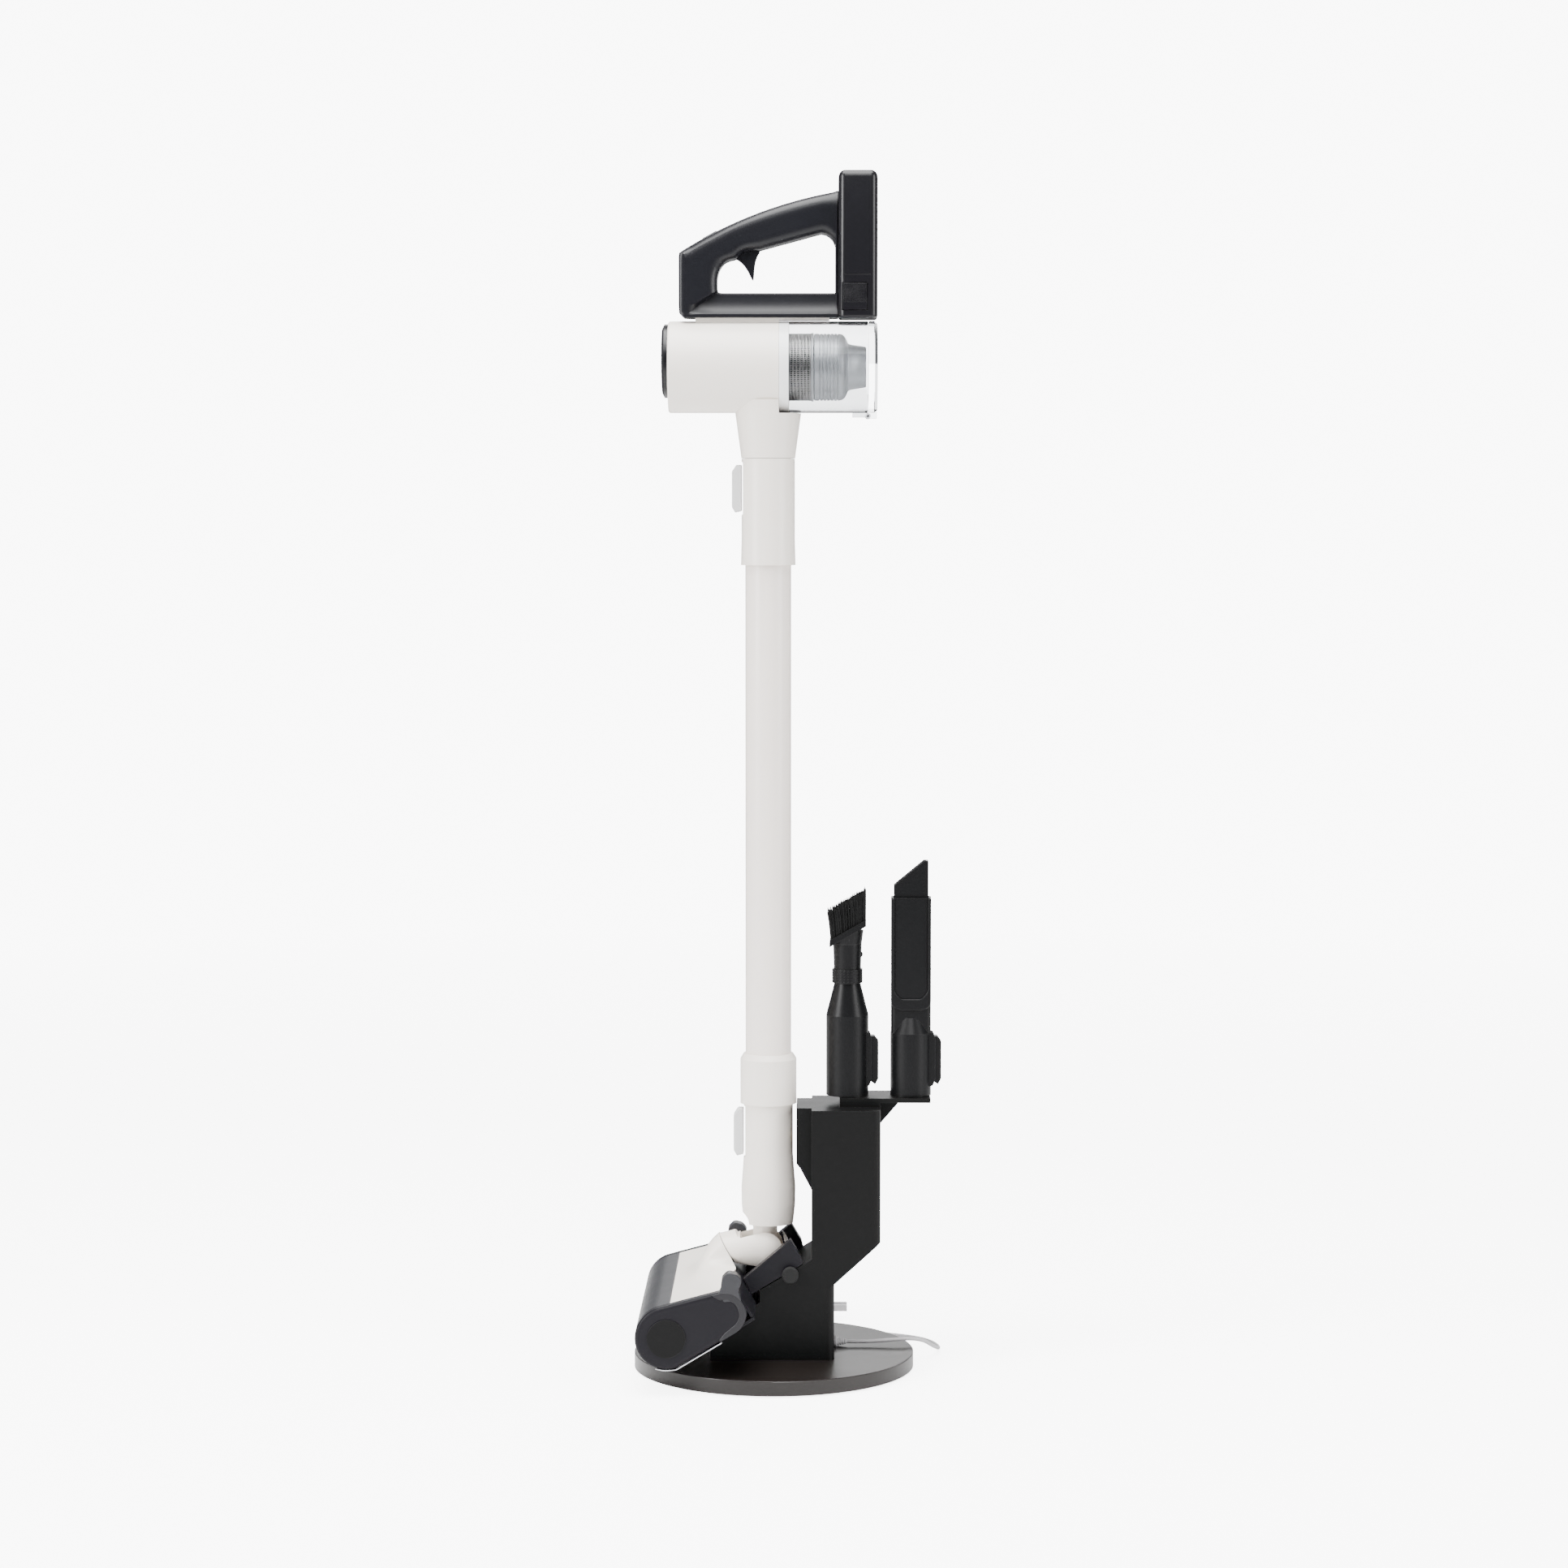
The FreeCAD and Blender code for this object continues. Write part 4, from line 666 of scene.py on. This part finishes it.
def ribbed_key(name, side):
    """Sprung key with a fine grid of raised squares on its outer face."""
    columns, rows, gap, raised = 13, 14, 0.25, 0.35
    left, low, wide, high = 61.4, 959, 22.2, 24.2
    base, out = side * 29.4, side * 30.75
    verts, faces = [], []

    def add_box(x0, x1, z0, z1, y0, y1, taper):
        start = len(verts)
        for y, inset in ((y0, 0), (y1, taper)):
            verts.extend(Vector(item) * MM for item in (
                (x0 + inset, y, z0 + inset), (x1 - inset, y, z0 + inset),
                (x1 - inset, y, z1 - inset), (x0 + inset, y, z1 - inset)))
        faces.extend([tuple(start + k for k in face) for face in (
            (0, 1, 2, 3), (7, 6, 5, 4), (0, 4, 5, 1), (1, 5, 6, 2), (2, 6, 7, 3), (3, 7, 4, 0))])

    add_box(left, left + wide, low, low + high, base, out, 0.3)
    step_x, step_z = (wide - 1.2) / columns, (high - 7.2) / rows
    for i in range(columns):
        for j in range(rows):
            x, z = left + 0.6 + i * step_x, low + 6.6 + j * step_z
            add_box(x + gap / 2, x + step_x - gap / 2, z + gap / 2, z + step_z - gap / 2,
                    out - side * 0.05, out + side * raised, 0.28)
    body = "battery_key_left" if side < 0 else "battery_key_right"
    return new_piece(name, verts, faces, body, "dark_battery", sharp=20)


# ---------------------------------------------------------------- floor head
HEAD = Matrix.Translation((-93.5, 0, 52)) @ Matrix.Rotation(math.radians(-31), 4, "Y")
SHROUD, REAR, REAR_X, REAR_Z = 28.0, 20.0, 55.0, -7.5
TOP_SLOPE = math.atan2(REAR_Z, REAR_X) - math.asin((SHROUD - REAR) / math.hypot(REAR_X, REAR_Z))


def top_line(u):
    """Height of the head's straight top edge over its roller axis."""
    normal = TOP_SLOPE + math.pi / 2
    return SHROUD * math.sin(normal) + (u - SHROUD * math.cos(normal)) * math.tan(TOP_SLOPE)


def rear_arc(radius, start, end, steps):
    """Points of a circle about the head's rear centre, angles in degrees."""
    return [(REAR_X + radius * math.cos(math.radians(start + (end - start) * i / steps)),
             REAR_Z + radius * math.sin(math.radians(start + (end - start) * i / steps)))
            for i in range(steps + 1)]


def evenly(points, count):
    """The path through the points, cut again into equal lengths."""
    lengths = [0.0]
    for before, after in zip(points, points[1:]):
        lengths.append(lengths[-1] + math.dist(before, after))
    across = list(zip(lengths, (point[0] for point in points)))
    up = list(zip(lengths, (point[1] for point in points)))
    return [(interpolated(across, lengths[-1] * i / (count - 1)),
             interpolated(up, lengths[-1] * i / (count - 1))) for i in range(count)]


def curved(points, steps=6):
    """Smooth path through given points."""
    result = []
    padded = [points[0]] + list(points) + [points[-1]]
    for a, b, c, d in zip(padded, padded[1:], padded[2:], padded[3:]):
        for i in range(steps):
            t = i / steps
            result.append(tuple(0.5 * (2 * q + (r - p) * t + (2 * p - 5 * q + 4 * r - s) * t * t
                                       + (3 * q - p - 3 * r + s) * t ** 3)
                                for p, q, r, s in zip(a, b, c, d)))
    return result + [points[-1]]


SEAM = 73.5
HUMP_HALF, HUMP_MIDDLE, HUMP_RISE = 19.5, 20.0, 18.4


def hump_section(y, foot):
    """Height of the hump over the sole's axis at its rear seam, at that depth."""
    y = abs(y)
    if y <= HUMP_HALF:
        return HUMP_MIDDLE + HUMP_RISE * (1 - (y / HUMP_HALF) ** 2.5) ** 0.4
    return HUMP_MIDDLE - (HUMP_MIDDLE - foot) * smooth((y - HUMP_HALF) / 6)


def head_grid(name, depths, column, finish):
    """Skin of columns, one per depth, each a list of (u, w) in the head's own frame."""
    verts, faces = [], []
    for y in depths:
        spots = column(y)
        count = len(spots)
        verts.extend((HEAD @ Vector((u, y, w))) * MM for u, w in spots)
    for i in range(len(depths) - 1):
        for j in range(count - 1):
            a = i * count + j
            faces.append((a, a + 1, a + count + 1, a + count))
    skin_piece = new_piece(name, verts, faces, "head", finish, sharp=50)
    wall = skin_piece.modifiers.new("Wall", "SOLIDIFY")
    wall.thickness = 2.2 * MM
    up = skin_piece.data.polygons[3].normal.z > 0
    wall.offset = -1 if up else 1
    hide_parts("head_cover")
    return skin_piece


def make_head_cover():
    """White cover rising to the hump at its seam, and the dark rear wall below it."""
    count, half = 46, 112.7
    flat = [(u, top_line(u)) for u in (17.8, 30, 45)]
    flat += rear_arc(REAR, 90 + math.degrees(TOP_SLOPE), 44, 6)
    flat = evenly(flat, count)
    crest = evenly(curved([
        (17.8, top_line(17.8)), (24, 22.3), (31, 21.2), (38, 22.0), (45, 25.4), (52, 29.9),
        (59, 33.8), (66, 36.7), (SEAM, HUMP_MIDDLE + HUMP_RISE)]), count)

    def column(y):
        spots = []
        for (flat_u, flat_w), (u, w) in zip(flat, crest):
            soft = 1 - smooth((abs(y) - 6) / 44)
            firm = (hump_section(y, flat_w) - flat_w) / (HUMP_MIDDLE + HUMP_RISE - flat_w)
            share = soft + (firm - soft) * smooth((u - 42) / 30)
            lean = 1 - smooth((abs(y) - 22) / 20)
            spots.append((flat_u + (u - flat_u) * lean, flat_w + (w - flat_w) * share))
        return spots

    depths = [half * (1 - i / 12) + 32 * i / 12 for i in range(12)]
    depths += [32 - i for i in range(33)]
    depths = [-y for y in depths] + depths[-2::-1]
    cover = head_grid("head_shell", depths, column, "white_shell")
    bevelled(cover, 0.45, 2, 55)
    rear = rear_arc(REAR, 42.6, 0, 8) + [(75, -14), (75, -19), (75, -24)]
    depths = [half * (2 * i / 40 - 1) for i in range(41)]
    back = head_grid("head_back", depths, lambda y: rear, "dark_cover")
    cut_away(back, cutter_box((60, -46.4, -30), (80, 46.4, -6.5), HEAD))


def make_swivel():
    """Housing drawn tight from the cover's seam over the elbow's ball, slotted for the neck."""
    ball, pivot = 21.9, Vector((-8, 0, 110))
    seat, seat_half, seat_rise = SEAM + 0.6, 0.985 * HUMP_HALF, 17.8
    slot, reach, lean, clear = 15, 19, 30, 22.1
    steps = 48
    shape = bmesh.new()
    for i in range(steps):
        turn = 2 * math.pi * i / steps
        across, up = math.cos(turn), math.sin(turn)
        shape.verts.new((HEAD @ Vector((seat, seat_half * across,
                                        HUMP_MIDDLE + seat_rise * up))) * MM)
        for j in range(1, steps // 2):
            tilt = 2 * math.pi * j / steps
            spot = Vector((math.sin(tilt) * across, math.cos(tilt), math.sin(tilt) * up))
            shape.verts.new((pivot + ball * spot) * MM)
    hull = bmesh.ops.convex_hull(shape, input=shape.verts)
    inside = [item for item in hull["geom_interior"] if isinstance(item, bmesh.types.BMVert)]
    bmesh.ops.delete(shape, geom=inside, context="VERTS")
    bmesh.ops.recalc_face_normals(shape, faces=shape.faces)
    mesh = bpy.data.meshes.new("swivel_housing")
    shape.to_mesh(mesh)
    shape.free()
    housing = finish_piece("swivel_housing", mesh, "steering_elbow", "white_shell", sharp=40)
    half_leant, leant = (Matrix.Translation(pivot) @ Matrix.Rotation(math.radians(angle), 4, "Y")
                         for angle in (-lean / 2, -lean))
    cut_away(housing, cutter_box((-reach, -slot, -4), (reach, slot, 40), half_leant),
             cutter_box((-45, -slot, 70), (20, slot, 108)),
             cutter_box((-16, -30, clear), (26, 30, 60), leant))
    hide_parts("elbow")


def make_side_trim():
    """Grey rim round the rear of each end of the head, rising to a rounded shoulder."""
    slope = math.degrees(TOP_SLOPE)
    outer = [(54, 12.9)] + rear_arc(19.4, 88 + slope, -92, 22)
    outer += [(46, -26.9), (39, -26.9)]
    inner = [(40, -24.6), (47, -22.0)] + rear_arc(13.2, -80, 92 + slope, 18)
    knob = eased([(60.5, 2, 0), (60.5, 11.0, 1), (63.4, 12.6, 3), (70.2, 21.2, 4),
                  (77.2, 22.9, 5), (82.8, 17.4, 5), (84.2, 10, 5), (76.8, 4.2, 4), (75, -2, 2),
                  (74.5, -5, 0)], 5)
    for name, side in (("left", -1), ("right", 1)):
        near, far = sorted((side * 122.6, side * 124.7))
        plate(f"end_rim_{name}", outer + inner, near, far, "head", "rim_grey", 0.9, HEAD)
        near, far = sorted((side * 110.6, side * 124.4))
        plate(f"end_shoulder_{name}", knob, near, far, "head", "grey_cover", 4.4, HEAD)
        near, far = sorted((side * 113.0, side * 123.6))
        strip = [arc_spot(29.0, angle) for angle in (220, 226, 232, 238, 244)]
        strip += [(-7, -28.7), (-4, -28.8), (39.5, -28.8), (41, -27.8), (-4.6, -27.8),
                  (-7.4, -27.6)]
        strip += [arc_spot(28.1, angle) for angle in (243, 237, 231, 225, 221)]
        edge = plate(f"sole_edge_{name}", strip, near, far, "head", "steel", 0.2, HEAD)
        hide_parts("sole_strips")


def arc_spot(radius, angle):
    """Point of a circle about the roller's axis, in the head's own frame."""
    return radius * math.cos(math.radians(angle)), radius * math.sin(math.radians(angle))


def make_pile():
    """Roller sleeve of short pile with four rows of longer tufts that slant from the middle."""
    around, along, half, bore, drop = 120, 120, 100.0, 12.1, -1
    draw = random.Random(5)
    verts, faces = [], []
    for i in range(along + 1):
        y = half * (2 * i / along - 1)
        for j in range(around):
            angle = 2 * math.pi * j / around
            twist = (angle * 2 / math.pi + abs(y) / 55) % 1
            raised = 1.0 if twist < 0.22 else 0.0
            radius = 23.1 + 1.1 * raised + draw.uniform(0, 0.35)
            verts.append((HEAD @ Vector((radius * math.cos(angle), y,
                                         drop + radius * math.sin(angle)))) * MM)
    for i in range(along):
        for j in range(around):
            k = (j + 1) % around
            faces.append((i * around + j, i * around + k, (i + 1) * around + k,
                          (i + 1) * around + j))
    for y, ring in ((-half, 0), (half, along)):
        start = len(verts)
        for j in range(around):
            angle = 2 * math.pi * j / around
            verts.append((HEAD @ Vector((bore * math.cos(angle), y,
                                         drop + bore * math.sin(angle)))) * MM)
        for j in range(around):
            k = (j + 1) % around
            faces.append((ring * around + j, ring * around + k, start + k, start + j))
    pile = new_piece("roller_sleeve", verts, faces, "roller", "roller_pile", sharp=70)
    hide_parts("roller_pile")


# ---------------------------------------------------------------- dust bin
def make_bin_parts():
    """Perforated filter with its core and bands, and the ribbed cyclone behind it."""
    around, along, radius, axis_z = 100, 10, 30.0, 909.4
    low, high = 5.4, 35.8
    verts, faces = [], []
    hole = 0.27

    def spot(i, j):
        angle = 2 * math.pi * i / around
        return Vector((low + (high - low) * j / along, radius * math.cos(angle),
                       axis_z + radius * math.sin(angle))) * MM
    for i in range(around):
        for j in range(along):
            start = len(verts)
            corners = ((0, 0), (1, 0), (1, 1), (0, 1))
            verts.extend(spot(i + a, j + b) for a, b in corners)
            verts.extend(spot(i + .5 + (a - .5) * 2 * hole, j + .5 + (b - .5) * 2 * hole)
                         for a, b in corners)
            for k in range(4):
                m = (k + 1) % 4
                faces.append((start + k, start + m, start + 4 + m, start + 4 + k))
    mesh = new_piece("bin_mesh", verts, faces, "main_unit", "mesh_steel", sharp=80)
    wall = mesh.modifiers.new("Wall", "SOLIDIFY")
    wall.thickness = 0.5 * MM
    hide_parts("mesh_filter")
    core = turned("bin_mesh_core", [(5.3, 24), (5.3, 27.5), (35.6, 27.5), (35.6, 24)],
                  (0, 0, axis_z), "X", "main_unit", "cap_black")
    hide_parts("mesh_filter")
    for name, x in (("bin_mesh_band_front", 5.4), ("bin_mesh_band_rear", 33.6)):
        band = turned(name, [(x, 28.4), (x, 30.4), (x + .4, 30.7), (x + 1.8, 30.7),
                             (x + 2.2, 30.4), (x + 2.2, 28.4)], (0, 0, axis_z), "X",
                      "main_unit", "cyclone_grey")
        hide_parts("mesh_filter")

    profile = [(35.9, 10), (35.9, 28.6), (36.6, 29.8), (38.0, 30)]
    for i in range(6):
        start = 40.6 + 3.2 * i
        profile += [(start, 30), (start + .35, 29.1), (start + .95, 29.1), (start + 1.3, 30)]
    profile += [(61.6, 29.2), (63.8, 27.4), (65.4, 24.4), (66.6, 21.4), (69, 20.2),
                (81.6, 18.4), (83, 17.6), (83, 12), (60, 10)]
    cyclone = turned("cyclone_shell", profile, (0, 0, axis_z), "X", "main_unit",
                     "cyclone_grey", sharp=28)
    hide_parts("cyclone_body")


# ---------------------------------------------------------------- tools
BRUSH_X, NOZZLE_X = 66.8, 124.5


def make_brush_tuft():
    """Slanted block of tapered strands; the tops run jagged."""
    draw = random.Random(11)
    throat = 389.0
    verts, faces = [], []
    columns, rows = 34, 13
    for i in range(columns):
        for j in range(rows):
            share = (i + draw.uniform(.2, .8)) / columns
            x = BRUSH_X - 15.2 + 31.6 * share
            y = -13 + 26 * (j + draw.uniform(.1, .9)) / rows
            foot = throat + 5.0 + 17.9 * share
            clump = 1.6 * math.sin(share * 19 + j * .7) + draw.uniform(-2.2, 0.6)
            tip = throat + 30 + 19.6 * share + clump
            lean = -3.0 + 3.1 * share + draw.uniform(-.5, .3)
            sway = draw.uniform(-.5, .5)
            start = len(verts)
            for height, radius in ((foot, .62), (foot + (tip - foot) * .6, .58),
                                   (tip - 2, .4), (tip, .12)):
                share_up = (height - foot) / (tip - foot)
                for k in range(4):
                    angle = math.pi / 2 * k + i
                    verts.append(Vector((x + lean * share_up ** 1.5 + radius * math.cos(angle),
                                         y + sway * share_up + radius * math.sin(angle),
                                         height)) * MM)
            for level in range(3):
                for k in range(4):
                    a, b = start + level * 4 + k, start + level * 4 + (k + 1) % 4
                    faces.append((a, b, b + 4, a + 4))
            faces.append(tuple(start + k for k in (3, 2, 1, 0)))
            faces.append(tuple(start + 12 + k for k in range(4)))
    tuft = new_piece("brush_strands", verts, faces, "brush_tool", "bristle", sharp=80)
    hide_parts("brush_bristles")


def make_tool_details():
    """Knurled ring and stop of the brush, the nozzle's raised scoop, and all button guards."""
    knurls = 80
    profile = []
    for i in range(5):
        z = 354.0 + 2.4 * i
        profile += [(z, 13.0), (z + .5, 13.9), (z + 1.4, 13.9), (z + 1.9, 13.0)]
    profile += [(366, 12.0), (353.4, 12.0)]
    ring = turned("brush_grip_ring", profile, (BRUSH_X, 0, 0), "Z", "brush_tool", "tool_black",
                  steps=knurls)
    for vert in ring.data.vertices:
        across = Vector((vert.co.x - BRUSH_X * MM, vert.co.y))
        angle = math.atan2(across.y, across.x)
        if across.length > .0135 and round(angle / (2 * math.pi) * knurls) % 3 == 0:
            vert.co.x = BRUSH_X * MM + across.x * .95
            vert.co.y = across.y * .95
    turned("brush_stop", [(0, 0), (0, 2.6), (1.2, 2.3), (2.0, 1.4), (2.3, 0)],
           (78.6, 0, 379), "X", "brush_tool", "tool_black", steps=24)
    scoop = eased([(-18, 431.2, 0), (-18, 332, 7), (-9, 328.6, 6), (9, 328.6, 6), (18, 332, 7),
                   (18, 431.2, 0), (15, 431.2, 0), (15, 346, 8), (9.4, 339.4, 6),
                   (-9.4, 339.4, 6), (-15, 346, 8), (-15, 431.2, 0)], 5)
    shift = Matrix.Translation((NOZZLE_X, 0, 0))
    for name, low, high in (("front", -11.9, -9.4), ("back", 9.4, 11.9)):
        plate(f"nozzle_scoop_{name}", scoop, low, high, "crevice_tool", "tool_black", 1.3,
              shift)
    for name, middle, body in (("brush", BRUSH_X, "brush_tool"),
                               ("nozzle", NOZZLE_X, "crevice_tool")):
        cheek = eased([(middle + 14, 258, 0), (middle + 20, 260, 2), (middle + 22.4, 266, 3),
                       (middle + 22.4, 303, 3), (middle + 20, 308, 2), (middle + 14, 310, 0)], 4)
        for side, low, high in (("front", -8.6, -6.7), ("back", 6.7, 8.6)):
            plate(f"{name}_button_guard_{side}", cheek, low, high, body, "tool_black", 0.7)


# ---------------------------------------------------------------- lead fittings
def make_lead_fittings():
    """Ribbed strain relief where the lead leaves the stand, and the tie round its coil."""
    profile = [(0, 0), (0, 4.6), (1.2, 5.0), (2.2, 5.0), (2.6, 4.2)]
    for i in range(4):
        x, r = 3.2 + 2.1 * i, 3.9 - .42 * i
        profile += [(x, r - .5), (x + .3, r), (x + 1.3, r - .1), (x + 1.6, r - .6)]
    profile += [(11.9, 1.8), (12, 0)]
    relief = turned("lead_relief", profile, (55, 15, 19.2), "X", "stand", "cord_white", steps=48)
    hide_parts("cable_gland")

    outer = eased([(-46.2, 0.05, 3), (-33.0, 0.05, 3), (-33.0, 14.6, 3.4), (-46.2, 14.6, 3.4)], 5)
    inner = eased([(-45.4, 0.5, 2.4), (-33.8, 0.5, 2.4), (-33.8, 13.9, 2.8),
                   (-45.4, 13.9, 2.8)], 5)
    verts = [Vector((a, y, b)) * MM for y in (173, 179) for ring in (outer, inner)
             for a, b in ring]
    count = len(outer)
    faces = []
    for i in range(count):
        k = (i + 1) % count
        faces += [(i, k, count + k, count + i),
                  (2 * count + i, 3 * count + i, 3 * count + k, 2 * count + k),
                  (i, 2 * count + i, 2 * count + k, k),
                  (count + i, count + k, 3 * count + k, 3 * count + i)]
    tie = new_piece("coil_tie", verts, faces, "stand", "rubber_black")
    bevelled(tie, 0.12, 2, 50)
    return relief, tie


make_handle()
make_battery()
make_head_cover()
make_swivel()
make_side_trim()
make_pile()
make_bin_parts()
make_brush_tuft()
make_tool_details()
relief, tie = make_lead_fittings()

# ---------------------------------------------------------------- stage
FLOOR_GLOW, SKY_SEEN, SKY_FILL = 5.6, 9.4, 0.3


def seen_directly(tree):
    """One for rays from the camera, straight or through clear plastic; none for the rest."""
    path = add(tree, "LightPath")
    bounces = maths(tree, "ADD", path.outputs["Diffuse Depth"], path.outputs["Glossy Depth"])
    through = maths(tree, "MULTIPLY", path.outputs["Is Transmission Ray"],
                    maths(tree, "LESS_THAN", bounces, 0.5))
    return maths(tree, "MAXIMUM", path.outputs["Is Camera Ray"], through)


def make_stage():
    """Pale floor that fades out, the surrounding light and five soft lamps."""
    stage_radius, fade_from, fade_to = 5.0, 1.2, 3.6
    shape = bmesh.new()
    bmesh.ops.create_circle(shape, cap_ends=True, radius=stage_radius, segments=96)
    mesh = bpy.data.meshes.new("floor")
    shape.to_mesh(mesh)
    shape.free()
    floor = bpy.data.objects.new("floor", mesh)
    bpy.context.scene.collection.objects.link(floor)
    material, tree, shader = new_material("pale_floor")
    where = add(tree, "TexCoord").outputs["Object"]
    length = add(tree, "VectorMath", operation="LENGTH")
    tree.links.new(where, length.inputs[0])
    fade = add(tree, "MapRange")
    fade.inputs["From Min"].default_value = fade_from
    fade.inputs["From Max"].default_value = fade_to
    fade.inputs["To Min"].default_value = 1.0
    fade.inputs["To Max"].default_value = 0.0
    tree.links.new(length.outputs["Value"], fade.inputs["Value"])
    tree.links.new(fade.outputs["Result"], shader.inputs["Alpha"])
    mottle = scaled_noise(tree, where, 3.0, 2.0)
    tree.links.new(blend_colours(tree, mottle, (0.90, 0.90, 0.90, 1), (0.93, 0.93, 0.93, 1)),
                   shader.inputs["Base Color"])
    shader.inputs["Roughness"].default_value = 0.9
    shader.inputs["Specular IOR Level"].default_value = 0.1
    shader.inputs["Emission Color"].default_value = (1, 1, 1, 1)
    direct = seen_directly(tree)
    tree.links.new(maths(tree, "MULTIPLY", direct, FLOOR_GLOW), shader.inputs["Emission Strength"])
    mesh.materials.append(material)

    world = bpy.data.worlds.new("StudioAir")
    bpy.context.scene.world = world
    world.use_nodes = True
    tree = world.node_tree
    seen = tree.nodes["Background"]
    seen.inputs["Color"].default_value = (1, 1, 1, 1)
    seen.inputs["Strength"].default_value = SKY_SEEN
    dim = add(tree, "Background")
    dim.inputs["Color"].default_value = (0.96, 0.98, 1.0, 1)
    dim.inputs["Strength"].default_value = SKY_FILL
    mix = add(tree, "MixShader")
    tree.links.new(seen_directly(tree), mix.inputs[0])
    tree.links.new(dim.outputs[0], mix.inputs[1])
    tree.links.new(seen.outputs[0], mix.inputs[2])
    tree.links.new(mix.outputs[0], tree.nodes["World Output"].inputs["Surface"])

    for name, spot, aim, size, power in (
            ("top_light", (-0.2, -0.4, 3.2), (0, 0, 0.5), (2.4, 2.4), 290),
            ("left_light", (-2.6, -1.7, 1.5), (0, 0, 0.5), (1.2, 2.4), 175),
            ("right_light", (2.8, -1.5, 1.3), (0, 0, 0.5), (1.2, 2.4), 105),
            ("front_light", (0.1, -2.6, 3.1), (0, 0, 0.7), (1.8, 1.0), 42),
            ("back_light", (0.4, 3.0, 1.8), (0, 0, 0.6), (2.4, 1.8), 60)):
        light = bpy.data.lights.new(name, "AREA")
        light.shape = "RECTANGLE"
        light.size, light.size_y = size
        light.energy = power
        lamp = bpy.data.objects.new(name, light)
        lamp.location = spot
        lamp.rotation_mode = "QUATERNION"
        lamp.rotation_quaternion = (Vector(aim) - Vector(spot)).to_track_quat("-Z", "Y")
        bpy.context.scene.collection.objects.link(lamp)


make_stage()

# ---------------------------------------------------------------- charger lead: finish and body
lead.data.materials.append(FINISHES["cord_white"])
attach(lead, "stand")
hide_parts("charger_cord", "cord_coil")
